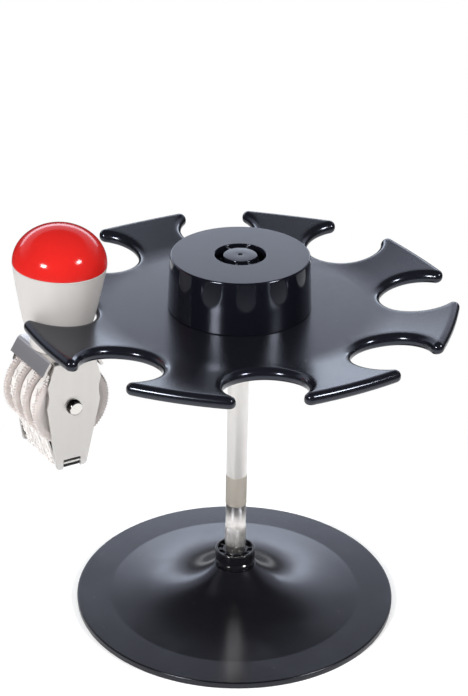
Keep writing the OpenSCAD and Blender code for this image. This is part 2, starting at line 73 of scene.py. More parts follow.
camera_data = bpy.data.cameras.new("photo_camera")
camera_data.sensor_width = SENSOR
camera_data.lens = FOCAL_PIXELS * SENSOR / PHOTO_HEIGHT
camera_data.clip_start = 0.05
camera = bpy.data.objects.new("photo_camera", camera_data)
camera.matrix_world = (Matrix.Translation(CAMERA_AT) @ Matrix.Rotation(-YAW, 4, "Z")
                       @ Matrix.Rotation(math.pi / 2 - PITCH, 4, "X") @ Matrix.Rotation(ROLL, 4, "Z"))
bpy.context.scene.collection.objects.link(camera)
bpy.context.scene.camera = camera
print("lens:", round(camera_data.lens, 1), "mm")

# %% [markdown]
# ## Meshes from outlines
# Nearly every piece here was turned, moulded or bent, so its form is an outline that is spun,
# extruded or followed. Corners of real pieces are never quite sharp. `soften` puts a small arc
# in each corner of an outline, and that arc is what catches the light. A bevel modifier could
# do the same, but an outline keeps the corner's radius readable next to its size.

# %% Outlines
def soften(corners, closed=True, fine=4):
    """Rounds each corner (x, y, radius) of an outline with an arc of that radius."""
    points = []
    count = len(corners)
    for i, (x, y, radius) in enumerate(corners):
        here = Vector((x, y))
        if radius <= 0 or (not closed and i in (0, count - 1)):
            points.append((x, y))
            continue
        back = Vector(corners[i - 1][:2]) - here
        ahead = Vector(corners[(i + 1) % count][:2]) - here
        half = back.angle(ahead) / 2
        reach = min(radius / math.tan(half), 0.49 * back.length, 0.49 * ahead.length)
        middle = here + (back.normalized() + ahead.normalized()).normalized() * (reach / math.cos(half))
        start = here + back.normalized() * reach - middle
        end = here + ahead.normalized() * reach - middle
        turn = math.atan2(start.x * end.y - start.y * end.x, start.dot(end))
        for k in range(fine + 1):
            swing = Matrix.Rotation(turn * k / fine, 2)
            points.append(tuple(middle + swing @ start))
    return points


def arc(x, y, radius, start, end, steps):
    """Points on an arc, with its angles in degrees."""
    angles = [math.radians(start + (end - start) * i / steps) for i in range(steps + 1)]
    return [(x + radius * math.cos(a), y + radius * math.sin(a)) for a in angles]


# %% [markdown]
# ## From points to a piece
# `make_piece` turns millimetres into metres, gives the mesh smooth shading with sharp edges
# where faces meet steeply, and makes it ride on its body. Weighted normals keep broad faces
# flat up to their rounded edges, so that the highlight stays in the edge.

# %% Pieces
def new_object(name, points, faces, place=None):
    """A mesh object from millimetre points, put in its place."""
    mesh = bpy.data.meshes.new(name)
    mesh.from_pydata([(x * MM, y * MM, z * MM) for x, y, z in points], [], faces)
    made = bpy.data.objects.new(name, mesh)
    bpy.context.scene.collection.objects.link(made)
    if place is not None:
        made.matrix_world = place
    return made


def make_piece(name, points, faces, body, replaces=(), place=None, sharp=35, weighted=True):
    """A smooth mesh that rides on a body and stands for its nodes."""
    piece = new_object(name, points, faces, place)
    mesh = piece.data
    shape = bmesh.new()
    shape.from_mesh(mesh)
    bmesh.ops.remove_doubles(shape, verts=shape.verts, dist=0.002 * MM)
    bmesh.ops.recalc_face_normals(shape, faces=shape.faces)
    shape.to_mesh(mesh)
    shape.free()
    mesh.shade_smooth()
    mesh.set_sharp_from_angle(angle=math.radians(sharp))
    if weighted:
        piece.modifiers.new("even_normals", "WEIGHTED_NORMAL").keep_sharp = True
    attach(piece, body)
    if replaces:
        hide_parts(*replaces)
    print(f"{name}: {len(mesh.polygons)} faces")
    return piece


def spun(profile, steps=160, closed=True, reach=None):
    """Points and faces of (radius, height) pairs spun round Z. `reach` may change each radius."""
    points = []
    rings = []
    for i, (radius, height) in enumerate(profile):
        first = len(points)
        if radius < 1e-6:
            points.append((0, 0, height))
            rings.append([first] * steps)
            continue
        for k in range(steps):
            angle = math.tau * k / steps
            r = radius if reach is None else reach(radius, angle, i)
            points.append((r * math.cos(angle), r * math.sin(angle), height))
        rings.append(list(range(first, first + steps)))
    pairs = list(zip(rings, rings[1:]))
    if closed:
        pairs.append((rings[-1], rings[0]))
    faces = []
    for low, high in pairs:
        for k in range(steps):
            corners = [low[k], low[(k + 1) % steps], high[(k + 1) % steps], high[k]]
            corners = [c for n, c in enumerate(corners) if c not in corners[:n]]
            if len(corners) > 2:
                faces.append(corners)
    return points, faces


def extruded(outline, low, high):
    """Points and faces of an (x, z) outline extruded along Y from low to high."""
    count = len(outline)
    points = [(x, low, z) for x, z in outline] + [(x, high, z) for x, z in outline]
    faces = [[k, (k + 1) % count, count + (k + 1) % count, count + k] for k in range(count)]
    faces += [list(range(count)), list(range(count, 2 * count))[::-1]]
    return points, faces


def rungs(one, two):
    """The faces between two open rows of point numbers."""
    return [[one[i], one[i + 1], two[i + 1], two[i]] for i in range(len(one) - 1)]


def joined(*shapes):
    """Several (points, faces) shapes as one."""
    points = []
    faces = []
    for more_points, more_faces in shapes:
        first = len(points)
        points += list(more_points)
        faces += [[first + c for c in face] for face in more_faces]
    return points, faces


def moved(shape, matrix):
    """A (points, faces) shape through a matrix in millimetres."""
    return [tuple(matrix @ Vector(p)) for p in shape[0]], shape[1]


def round_size(box):
    """Radius, low and high of the box of a round solid on the pole's axis, in millimetres."""
    low, high = box
    return high.x / MM, low.z / MM, high.z / MM


# %% [markdown]
# ## Base
# The base is one round of sheet steel, pressed so that its middle sweeps up to a hub, with its
# rim turned down. The outer ring is flat. Then the sheet starts to rise at once, with a slight
# slope, and steepens to the hub: a straight share of the height plus a power curve. A spline
# through a few points could draw it too, but this curve has no bumps, and a dark glossy
# surface shows the smallest bump. The small fold where the rise starts draws a clear circle.

# %% Base
BASE_R, RIM_LOW, HUB_TOP = round_size(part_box("base_disc"))
FLAT_Z = 2.4
SHEET = 1.0
FLARE_R = 46.5
HUB_R = 7.7
FLARE_START = 0.16
FLARE_POWER = 3.6
BORE_R = 3.72


def flare_height(radius):
    """Height of the base's top at a radius."""
    share = max(0.0, FLARE_R - radius) / (FLARE_R - HUB_R)
    rise = FLARE_START * share + (1 - FLARE_START) * share ** FLARE_POWER
    return FLAT_Z + (HUB_TOP - FLAT_Z) * rise


flare = [FLARE_R + (HUB_R - FLARE_R) * i / 48 for i in range(49)]
outside = soften([(BASE_R - 0.12, RIM_LOW, 0.1), (BASE_R, FLAT_Z - 1.0, 0.4),
                  (BASE_R - 0.03, FLAT_Z, 0.55), (FLARE_R, FLAT_Z, 0)], closed=False, fine=6)
top_line = [(r, flare_height(r)) for r in flare[1:-1]] + [(HUB_R, HUB_TOP)]
under_line = [(r, flare_height(r) - SHEET) for r in flare[::-4]]
inside = [(BORE_R, HUB_TOP), (BORE_R, HUB_TOP - SHEET)] + under_line
inside += [(BASE_R - SHEET, FLAT_Z - SHEET), (BASE_R - SHEET, RIM_LOW)]
base_skin = make_piece("base_skin", *spun(outside + top_line + inside, 256), "stand", ["base_disc"])

# %% [markdown]
# ## Collar
# A glossy ring sits on the hub and hides where the pole goes in. It has one narrow groove
# outside, and a shallow recess on top with small ribs between the wall and the pole. The ribs
# are tiny, but they break up the dark recess, so they are modelled and not painted.

# %% Collar
COLLAR_R, COLLAR_LOW, COLLAR_TOP = round_size(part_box("base_collar"))
WALL_R = COLLAR_R - 1.0
RECESS_Z = COLLAR_TOP - 1.2
GROOVE_Z = COLLAR_LOW + 2.4
collar_outline = soften([
    (BORE_R, COLLAR_LOW, 0), (COLLAR_R - 0.15, COLLAR_LOW, 0.25), (COLLAR_R, GROOVE_Z - 0.45, 0.3),
    (COLLAR_R - 0.45, GROOVE_Z, 0.12), (COLLAR_R, GROOVE_Z + 0.35, 0.2), (COLLAR_R, COLLAR_TOP, 0.3),
    (WALL_R, COLLAR_TOP, 0.25), (WALL_R - 0.1, RECESS_Z, 0.2), (BORE_R + 0.9, RECESS_Z, 0.2),
    (BORE_R + 0.8, COLLAR_TOP - 0.45, 0.15), (BORE_R, COLLAR_TOP - 0.45, 0.1)])
COLLAR_RIBS = 10
collar_ribs = []
for i in range(COLLAR_RIBS):
    rib = extruded([(BORE_R + 0.5, RECESS_Z - 0.2), (WALL_R + 0.3, RECESS_Z - 0.2),
                    (WALL_R + 0.3, COLLAR_TOP - 0.5), (BORE_R + 0.5, COLLAR_TOP - 0.5)], -0.2, 0.2)
    collar_ribs.append(moved(rib, Matrix.Rotation(math.tau * i / COLLAR_RIBS, 3, "Z")))
collar_ring = make_piece("collar_ring", *joined(spun(collar_outline, 96), *collar_ribs),
                         "stand", ["base_collar"])

# %% [markdown]
# ## Pole
# The pole is a bright rod with two knurled bands: a fine diamond knurl about a third of the
# way up, and a straight one just above the collar. A knurl is pressed into the metal by two
# sets of slanted ridges. Two sine waves that run round the rod in opposite ways make the same
# small pyramids, so the bands are real relief and glint as the view turns.

# %% Pole
SHOULDER_Z = 112.9
POLE_R = 3.7
JOURNAL_R = 2.5
_, POLE_LOW, JOURNAL_TOP = round_size(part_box("pole"))
KNURL_RISE = 0.15
STRAIGHT_BAND, STRAIGHT_DEEP = (22.5, 31.0), 0.12
DIAMOND_BAND, DIAMOND_DEEP = (39.8, 52.1), 0.10
RIDGES = 44


def band_profile(low, high, rows):
    """A band that stands proud of the rod between two heights, with chamfered ends."""
    rise = [(POLE_R, low), (POLE_R + 0.5 * KNURL_RISE, low + 0.15)]
    rows_up = [(POLE_R + KNURL_RISE, low + 0.3 + (high - low - 0.6) * i / rows) for i in range(rows + 1)]
    return rise + rows_up + [(POLE_R + 0.5 * KNURL_RISE, high - 0.15), (POLE_R, high)]


straight_band = band_profile(*STRAIGHT_BAND, 6)
diamond_band = band_profile(*DIAMOND_BAND, 90)
rod = soften([(0, POLE_LOW, 0), (POLE_R, POLE_LOW, 0.2)], closed=False) + straight_band + diamond_band
rod += soften([(POLE_R, SHOULDER_Z - 1, 0), (POLE_R, SHOULDER_Z, 0.3), (JOURNAL_R, SHOULDER_Z, 0.2),
               (JOURNAL_R, JOURNAL_TOP, 0.3), (0, JOURNAL_TOP, 0)], closed=False)
knurled_heights = {i: z for i, (r, z) in enumerate(rod) if r > POLE_R + 0.6 * KNURL_RISE}


def knurl(radius, angle, row):
    """Presses the ridges into the rows that belong to a knurled band."""
    if row not in knurled_heights:
        return radius
    height = knurled_heights[row]
    if height < DIAMOND_BAND[0]:
        return radius - STRAIGHT_DEEP * (0.5 + 0.5 * math.cos(RIDGES * angle)) ** 2
    climb = height / POLE_R
    ridge_a = math.cos(RIDGES / 2 * (angle + climb))
    ridge_b = math.cos(RIDGES / 2 * (angle - climb))
    return radius - DIAMOND_DEEP * max(ridge_a ** 4, ridge_b ** 4)


plated_rod = make_piece("plated_rod", *spun(rod, RIDGES * 8, closed=False, reach=knurl), "stand", ["pole"],
                        sharp=50, weighted=False)

# %% [markdown]
# ## Plate
# The plate is the piece that gives the carousel its look: eight round slots, and between them
# eight fingers whose ends flare out to two rounded tips. Three circles draw half a finger: a
# wide arc for its outer edge, a small circle for its tip, and the slot's own circle. The small
# circle touches the other two, which is how a designer would draw it. The middle is flat and
# the fingers rise outward, with a soft bend between.

# %% Outline of a finger
PLATE_R = 75.0
SLOTS = 8
SLOT_AT = 63.4
SLOT_R = 13.7
TIP_R = 2.3
TIP_LEAST = 0.4
EDGE_ARC_R = 193.0
half_step = math.pi / SLOTS
slot_middle = Vector((SLOT_AT * math.cos(half_step), SLOT_AT * math.sin(half_step)))
edge_middle = Vector((PLATE_R - EDGE_ARC_R, 0))
to_slot = slot_middle - edge_middle
right_hand = Vector((to_slot.y, -to_slot.x)).normalized()


def tip_circle(inset):
    """Middle and radius of the small circle that touches the edge's arc and the slot's circle."""
    radius = max(TIP_R - inset, TIP_LEAST)
    reach = EDGE_ARC_R - inset - radius
    gap = SLOT_R + inset + radius
    along = (reach ** 2 - gap ** 2 + to_slot.length_squared) / (2 * to_slot.length)
    middle = edge_middle + to_slot.normalized() * along + right_hand * math.sqrt(reach ** 2 - along ** 2)
    return middle, radius


def half_finger(inset):
    """Half a finger's outline, drawn in by an inset: outer edge, tip, slot."""
    tip_middle, radius = tip_circle(inset)
    from_edge = tip_middle - edge_middle
    from_tip = slot_middle - tip_middle
    edge_end = math.degrees(math.atan2(from_edge.y, from_edge.x))
    tip_end = math.degrees(math.atan2(from_tip.y, from_tip.x))
    edge = arc(*edge_middle, EDGE_ARC_R - inset, 0, edge_end, 10)
    tip = arc(*tip_middle, radius, edge_end, tip_end, 16)
    slot = arc(*slot_middle, SLOT_R + inset, tip_end + 180, math.degrees(half_step) + 180, 40)
    return edge + tip[1:] + slot[1:]


tip_middle, tip_radius = tip_circle(0)
to_mid_slot = abs(tip_middle.x * math.sin(half_step) - tip_middle.y * math.cos(half_step))
mouth = 2 * (to_mid_slot - tip_radius)
print("mouth of a slot:", round(mouth, 2), "mm")

# %% [markdown]
# The rounded lip is a stack of outlines, each drawn in a little more and set a little higher.
# The top and the underside are filled with rungs from one side of each finger to the other.
# Every point gets its height from the same rising curve, so the surface stays smooth.

# %% Surface of the plate
PLATE_UNDER = round_size(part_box("carousel_plate"))[1]
PLATE_T = 4.4
PLATE_TOP = PLATE_UNDER + PLATE_T
LIP_IN = 2.6
TOP_ROUND = 2.4
BOTTOM_ROUND = 1.5
FLAT_R = 49.2
FINGER_RISE = 3.8
BEND = 5.0
RUNG_PARTS = 12
RUNGS_INWARD = (0.92, 0.8, 0.6, 0.33)


def finger_height(x, y):
    """How far the plate has risen at a point: flat, then a soft bend, then straight."""
    out = math.hypot(x, y) - FLAT_R
    slope = FINGER_RISE / (PLATE_R - FLAT_R)
    if out <= -BEND:
        return 0.0
    if out >= BEND:
        return slope * out
    return slope * (out + BEND) ** 2 / (4 * BEND)


lip = [(BOTTOM_ROUND * (1 - math.cos(a)), PLATE_UNDER + BOTTOM_ROUND * (1 - math.sin(a)))
       for a in [math.radians(d) for d in (90, 72, 54, 36, 18, 0)]]
lip += [(LIP_IN * (1 - math.cos(a)), PLATE_TOP - TOP_ROUND * (1 - math.sin(a)))
        for a in [math.radians(9 * i) for i in range(11)]]


def plate_shape():
    """Points and faces of the whole plate, finger by finger."""
    points = []
    faces = []

    def add(x, y, z):
        points.append((x, y, z + finger_height(x, y)))
        return len(points) - 1

    for k in range(SLOTS):
        swing = Matrix.Rotation(half_step + math.tau * k / SLOTS, 2)
        ring_before = None
        for inset, height in lip:
            half = half_finger(inset)
            whole = [(x, -y) for x, y in half[::-1]] + half[1:]
            ring = [add(*(swing @ Vector(p)), height) for p in whole]
            if ring_before:
                faces += rungs(ring_before, ring)
            ring_before = ring
        for inset, height in (lip[0], lip[-1]):
            half = half_finger(inset)
            rows = []
            for x, y in half + [(half[-1][0] * share, half[-1][1] * share) for share in RUNGS_INWARD]:
                places = [swing @ Vector((x, y * (2 * i / RUNG_PARTS - 1))) for i in range(RUNG_PARTS + 1)]
                rows.append([add(*p, height) for p in places])
            for one, two in zip(rows, rows[1:]):
                faces += rungs(one, two)
            hub = add(0, 0, height)
            for i in range(RUNG_PARTS):
                faces.append([rows[-1][i], rows[-1][i + 1], hub])
    return points, faces


carousel_skin = make_piece("carousel_skin", *plate_shape(), "carousel", ["carousel_plate"],
                           sharp=60, weighted=False)

# %% [markdown]
# ## Knob
# The knob is a drum with a slight taper. Its top is satin and its side is polished, and the
# two meet in a fine rounded edge. A ring groove round a small disc decorates the top. Four
# thin ribs cross the groove, and a dimple marks the middle where the mould was filled.

# %% Knob
KNOB_R, KNOB_LOW, KNOB_TOP = round_size(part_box("knob"))
KNOB_TOP_R = 24.1
GROOVE_R = 8.85
DISC_R = 5.85
GROOVE_LOW = KNOB_TOP - 4.5
knob_outline = soften([
    (0, KNOB_TOP - 0.45, 0), (0.55, KNOB_TOP - 0.4, 0.2), (0.95, KNOB_TOP - 0.12, 0.3),
    (DISC_R, KNOB_TOP - 0.12, 0.3), (DISC_R + 0.1, GROOVE_LOW, 0.3), (GROOVE_R - 0.1, GROOVE_LOW, 0.3),
    (GROOVE_R, KNOB_TOP, 0.35), (KNOB_TOP_R, KNOB_TOP, 0.6), (KNOB_R, KNOB_LOW + 0.1, 0.25),
    (KNOB_R - 2, KNOB_LOW + 0.02, 0)], closed=False, fine=5)
RIB_ANGLES = (66, 114, 252, 288)
knob_ribs = []
for degrees in RIB_ANGLES:
    rib = extruded([(DISC_R - 0.3, GROOVE_LOW - 0.2), (GROOVE_R + 0.3, GROOVE_LOW - 0.2),
                    (GROOVE_R + 0.3, KNOB_TOP - 0.7), (DISC_R - 0.3, KNOB_TOP - 0.7)], -0.4, 0.4)
    knob_ribs.append(moved(rib, Matrix.Rotation(math.radians(degrees), 3, "Z")))
knob_skin = make_piece("knob_skin", *joined(spun(knob_outline, 256, closed=False), *knob_ribs),
                       "carousel", ["knob"])

# %% [markdown]
# ## Where the date stamp hangs
# The stamp leans a little to the pole and is turned in its slot. The axle's joint already
# holds both angles, so the stamp's own frame is read from it: the middle is the axle's middle,
# Y runs along the axle, and Z runs up the handle. Every piece of the stamp is built upright
# in that frame and then set in place by one matrix.

# %% Frame of the date stamp
axle_joint = joints["year_spin"]
axle_way = Vector(axle_joint["axis"])
lean = math.atan2(axle_way.z, -axle_way.x)
turned = math.atan2(math.hypot(axle_way.x, axle_way.z), axle_way.y)
stamp_place = (Matrix.Translation(Vector(axle_joint["pos_m"])) @ Matrix.Rotation(lean, 4, "Y")
               @ Matrix.Rotation(turned, 4, "Z"))
print("lean", round(math.degrees(lean), 1), "turn", round(math.degrees(turned), 1))

# %% [markdown]
# ## Handle
# The light grey cone widens upward in a gentle curve and goes down through the slot to a
# narrower neck. The red cap is half an ellipsoid that is plugged into it. A fine gap stays
# between the two, and that dark line is what makes them read as two pieces.

# %% Handle
WEB_Z = 18.7
CONE_LOW = 24.7
SEAM_Z = 49.1
SEAM_R = 16.2
CONE_R = 10.9
NECK_R = 9.5
CAP_H = 13.6


def cone_radius(height):
    """Radius of the grey cone at a height."""
    share = max(0.0, (height - CONE_LOW) / (SEAM_Z - CONE_LOW))
    return CONE_R + (SEAM_R - CONE_R) * share ** 0.75


cone_heights = [CONE_LOW + 0.6 + (SEAM_Z - CONE_LOW - 1.1) * i / 40 for i in range(41)]
cone_line = [(cone_radius(z), z) for z in cone_heights]
cone_outline = soften([(0, WEB_Z + 0.02, 0), (NECK_R, WEB_Z + 0.02, 0.3), (NECK_R, CONE_LOW - 0.5, 0.4),
                       (CONE_R - 0.1, CONE_LOW - 0.5, 0.9), (cone_radius(CONE_LOW + 0.6), CONE_LOW + 0.6, 0)],
                      closed=False, fine=6)
cone_outline += cone_line[1:] + soften([(SEAM_R - 0.03, SEAM_Z - 0.4, 0), (SEAM_R - 0.01, SEAM_Z - 0.02, 0.2),
                                        (SEAM_R - 1.4, SEAM_Z - 0.05, 0)], closed=False)
grey_cone = make_piece("grey_cone", *spun(cone_outline, 160, closed=False), "date_stamp",
                       ["handle_body"], stamp_place)

dome = [(SEAM_R * math.cos(a), SEAM_Z + 0.25 + (CAP_H - 0.25) * math.sin(a))
        for a in [math.radians(90 * i / 48) for i in range(49)]]
dome[-1] = (0, SEAM_Z + CAP_H)
cap_outline = [(SEAM_R - 1.4, SEAM_Z - 0.1), (SEAM_R - 0.35, SEAM_Z + 0.02),
               (SEAM_R - 0.06, SEAM_Z + 0.1)] + dome
red_cap = make_piece("red_cap", *spun(cap_outline, 160, closed=False), "date_stamp", ["handle_cap"],
                     stamp_place, weighted=False)

# %% [markdown]
# ## Bent frame
# The frame is one strip of nickel-plated sheet, bent down twice into two cheeks, with a
# sloping flange at each side of its top. Bent sheet is best modelled as its middle surface:
# a grid of points follows the bends, and a solidify modifier gives it its thickness. The
# bends then have equal walls, as bent metal does. The axle's holes and the notches between
# the feet are cut with booleans, whose tools are removed again, and a fine bevel takes the
# edge off every cut.

# %% Middle surface of the frame
FRAME_HALF = 12.75
FRAME_T = 1.0
BEND_R = 1.0
TOP_HALF = 8.1
CHEEK_HALF = 10.5
FOOT_HALF = 5.8
FOOT_Z = -24.0
FOOT_ROUND = 1.1
GRIP_LOW, GRIP_HIGH, GRIP_DEEP = 1.2, 9.4, 0.75
FLANGE_OUT, FLANGE_DOWN = 2.8, 4.8
FLANGE_HALF = 11.6
middle_y = FRAME_HALF - FRAME_T / 2
middle_z = WEB_Z - FRAME_T / 2
COLUMNS = 12


def cheek_half(height):
    """Half the width of a cheek at a height, with a shallow grip arc and rounded feet."""
    if height > GRIP_HIGH:
        share = min(1.0, (height - GRIP_HIGH) / (WEB_Z - 1.5 - GRIP_HIGH))
        return CHEEK_HALF + (TOP_HALF - CHEEK_HALF) * share
    if height > GRIP_LOW:
        along_grip = (height - GRIP_LOW) / (GRIP_HIGH - GRIP_LOW)
        return CHEEK_HALF - GRIP_DEEP * 4 * along_grip * (1 - along_grip)
    share = (height - FOOT_Z) / (GRIP_LOW - FOOT_Z)
    half = FOOT_HALF + (CHEEK_HALF - FOOT_HALF) * share
    near_foot = max(0.0, FOOT_ROUND - (height - FOOT_Z))
    return half - (FOOT_ROUND - math.sqrt(max(0.0, FOOT_ROUND ** 2 - near_foot ** 2)))


cheek_levels = [FOOT_Z + up for up in (0, 0.12, 0.35, 0.7, FOOT_ROUND)] + [-20.6, -15.0, -8.0, -3.0]
cheek_levels += [GRIP_LOW + (GRIP_HIGH - GRIP_LOW) * i / 14 for i in range(15)] + [13.0, 15.5]
path = [(middle_y, z, cheek_half(z)) for z in cheek_levels]
path += [(middle_y - BEND_R + BEND_R * math.cos(a), middle_z - BEND_R + BEND_R * math.sin(a), TOP_HALF)
         for a in [math.radians(15 * i) for i in range(7)]]
web_line = [(middle_y - BEND_R) * (1 - i / 6) for i in range(1, 7)]
path += [(y, middle_z, TOP_HALF) for y in web_line]
path += [(-y, z, half) for y, z, half in path[-2::-1]]


def sheet_shape():
    """The middle surface: one long grid over both cheeks, and a flange at each side."""
    points = []
    faces = []
    rows = []
    for y, z, half in path:
        rows.append(list(range(len(points), len(points) + COLUMNS + 1)))
        points += [(half * (2 * i / COLUMNS - 1), y, z) for i in range(COLUMNS + 1)]
    for one, two in zip(rows, rows[1:]):
        faces += rungs(one, two)
    fold = math.atan2(FLANGE_DOWN, FLANGE_OUT)
    flange_ys = [y for y, z, half in path if abs(z - middle_z) < 1e-6]
    straight = math.hypot(FLANGE_OUT, FLANGE_DOWN) - 0.4
    for side in (-1, 1):
        lines = [(TOP_HALF + BEND_R * math.sin(a), middle_z - BEND_R * (1 - math.cos(a)))
                 for a in [fold * i / 5 for i in range(6)]]
        x, z = lines[-1]
        lines += [(x + straight * s * math.cos(fold), z - straight * s * math.sin(fold))
                  for s in (0.4, 0.8, 1.0)]
        grid = []
        widest = max(flange_ys)
        ends = [widest, FLANGE_HALF - 0.5, FLANGE_HALF - 0.15] + [FLANGE_HALF] * (len(lines) - 3)
        for end, (x, z) in zip(ends, lines):
            grid.append(list(range(len(points), len(points) + len(flange_ys))))
            ys = [math.copysign(end, y) if abs(y) > widest - 0.01 else y for y in flange_ys]
            points += [(side * x, y, z) for y in ys]
        for one, two in zip(grid, grid[1:]):
            faces += rungs(one, two)
    return points, faces


bent_frame = make_piece("bent_frame", *sheet_shape(), "date_stamp", ["stamp_frame"], stamp_place,
                        sharp=50, weighted=False)
print("levels on the frame's path:", len(path))

# %% Thickness, cuts and edges of the frame
AXLE_R = 2.5
HOLE_R = AXLE_R + 0.25
NOTCH_HALF, NOTCH_H = 3.4, 3.6
CUT_FAR = 20
EDGE_BEVEL = 0.14


def apply_modifiers(piece):
    """Bakes a piece's modifiers into its mesh."""
    bpy.context.view_layer.update()
    seen = piece.evaluated_get(bpy.context.evaluated_depsgraph_get())
    baked = bpy.data.meshes.new_from_object(seen)
    piece.modifiers.clear()
    piece.data = baked


hole = moved(spun([(0, -CUT_FAR), (HOLE_R, -CUT_FAR), (HOLE_R, CUT_FAR), (0, CUT_FAR)], 64, closed=False),
             Matrix.Rotation(math.pi / 2, 3, "X"))
notch = extruded([(-NOTCH_HALF, FOOT_Z - 2), (NOTCH_HALF, FOOT_Z - 2), (NOTCH_HALF, FOOT_Z + NOTCH_H),
                  (-NOTCH_HALF, FOOT_Z + NOTCH_H)], -CUT_FAR, CUT_FAR)
cutters = [new_object("axle_hole", *hole, stamp_place), new_object("foot_notch", *notch, stamp_place)]
thickness = bent_frame.modifiers.new("thickness", "SOLIDIFY")
thickness.thickness = FRAME_T * MM
thickness.offset = 0
thickness.use_even_offset = True
for tool in cutters:
    cut = bent_frame.modifiers.new(tool.name, "BOOLEAN")
    cut.object = tool
    cut.solver = "EXACT"
apply_modifiers(bent_frame)
for tool in cutters:
    bpy.data.objects.remove(tool)
bent_frame.data.shade_smooth()
bent_frame.data.set_sharp_from_angle(angle=math.radians(40))
edge = bent_frame.modifiers.new("rounded_edges", "BEVEL")
edge.width = EDGE_BEVEL * MM
edge.segments = 2
edge.limit_method = "ANGLE"
edge.angle_limit = math.radians(50)
bent_frame.modifiers.new("even_normals", "WEIGHTED_NORMAL").keep_sharp = True
print("bent_frame after its cuts:", len(bent_frame.data.polygons), "faces")

# %% [markdown]
# ## Axle, platen and tongue
# A turned pin with chamfered ends goes through both cheeks. At the feet, a black bar holds
# the bands down to the paper, and a flat metal tongue lies through it, so each notch shows
# a bright line between two dark gaps.

# %% Axle, platen and tongue
AXLE_HALF = 14.75
along_y = Matrix.Rotation(-math.pi / 2, 3, "X")
axle_outline = soften([(0, -AXLE_HALF + 0.12, 0), (1.2, -AXLE_HALF, 0.6), (AXLE_R, -AXLE_HALF, 0.4),
                       (AXLE_R, AXLE_HALF, 0.4), (1.2, AXLE_HALF, 0.6), (0, AXLE_HALF - 0.12, 0)],
                      closed=False, fine=5)
turned_pin = make_piece("turned_pin", *moved(spun(axle_outline, 96, closed=False), along_y),
                        "date_stamp", ["wheel_axle"], stamp_place)

NOSE_R = 1.4
NOSE_X = 2.9
NOSE_Z = FOOT_Z + 0.2 + NOSE_R
CHEEK_IN = FRAME_HALF - FRAME_T
bar_outline = soften([(-NOSE_X - 1.3, NOSE_Z - 1.3, 1.29), (NOSE_X + 1.3, NOSE_Z - 1.3, 1.29),
                      (NOSE_X + 1.3, NOSE_Z + 2.4, 0.3), (-NOSE_X - 1.3, NOSE_Z + 2.4, 0.3)], fine=8)


def rounded_box(half, low, high, radius):
    """A box's outline across the middle, with rounded corners."""
    return soften([(-half, low, radius), (half, low, radius), (half, high, radius), (-half, high, radius)])


end_outline = rounded_box(NOTCH_HALF - 0.1, FOOT_Z + 0.25, FOOT_Z + NOTCH_H - 0.2, 0.2)
platen_bar = make_piece("platen_bar", *joined(
    extruded(bar_outline, -CHEEK_IN + 0.3, CHEEK_IN - 0.3),
    extruded(end_outline, -FRAME_HALF + 0.75, -CHEEK_IN + 0.4),
    extruded(end_outline, CHEEK_IN - 0.4, FRAME_HALF - 0.75)), "date_stamp", ["platen"], stamp_place)

TONGUE_LOW = FOOT_Z + 1.9
TONGUE_T = 0.75
tongue_outline = rounded_box(NOTCH_HALF - 0.15, TONGUE_LOW, TONGUE_LOW + TONGUE_T, 0.15)
flat_tongue = make_piece("flat_tongue", *extruded(tongue_outline, -FRAME_HALF + 0.02, FRAME_HALF - 0.02),
                         "date_stamp", ["platen_tongue"], stamp_place)

# %% [markdown]
# ## Toothed wheels
# A fingertip turns each wheel by its toothed rim. The far wheel has a rim at each side of its
# drum, and the other two have one, so four rims show with three bands between them. The teeth
# are a wave in the rim's radius: the spinning helper asks `reach` for the radius at each
# angle, and only the outer rows of the profile answer with the wave.

# %% Toothed wheels
RIM_R = 15.0
TOOTH_FROM = RIM_R - 0.7
TOOTH_H = 0.75
TEETH = 84
RIM_T = 1.5
DRUM_R = 11.6
BORE = 2.55
SIDE_GAP, WHEEL_GAP = 0.4, 0.2
drum_w = (2 * CHEEK_IN - 2 * SIDE_GAP - 4 * RIM_T - 2 * WHEEL_GAP) / 3
year_y = CHEEK_IN - SIDE_GAP
month_y = year_y - 2 * RIM_T - drum_w - WHEEL_GAP
day_y = month_y - drum_w - RIM_T - WHEEL_GAP


def toothed(radius, angle, row):
    """The outer rows of a rim carry its teeth, and the rest stays round."""
    if radius < TOOTH_FROM:
        return radius
    share = min(1.0, (radius - TOOTH_FROM) / 0.5)
    return radius - share * TOOTH_H * (0.5 - 0.5 * math.cos(TEETH * angle)) ** 0.8


def rim(high):
    """A toothed rim whose far face is at `high`, with a shallow dish in each face."""
    low = high - RIM_T
    half = [(BORE, 0.35), (RIM_R - 3.2, 0.35), (RIM_R - 2.7, 0.06), (RIM_R - 2.5, 0),
            (TOOTH_FROM, 0), (RIM_R - 0.28, 0.08), (RIM_R - 0.02, 0.3)]
    rows = [(r, low + z) for r, z in half] + [(r, high - z) for r, z in half[::-1]]
    return spun(rows, TEETH * 8, reach=toothed)


def drum(high):
    """The drum between two rims, a little longer than the space so that it meets both."""
    return spun([(BORE, high - drum_w - 0.5), (DRUM_R, high - drum_w - 0.5), (DRUM_R, high + 0.5),
                 (BORE, high + 0.5)], 96)


wheel_shapes = {
    "year": [rim(year_y), drum(year_y - RIM_T), rim(year_y - RIM_T - drum_w)],
    "month": [drum(month_y - 0.5), rim(month_y - drum_w)],
    "day": [drum(day_y - 0.5), rim(day_y - drum_w)],
}
thumb_wheels = []
for which, shapes in wheel_shapes.items():
    shape = moved(joined(*shapes), along_y)
    thumb_wheels.append(make_piece(f"{which}_thumb_wheel", *shape, f"{which}_wheel", [f"{which}_wheel"],
                                   stamp_place, sharp=45, weighted=False))

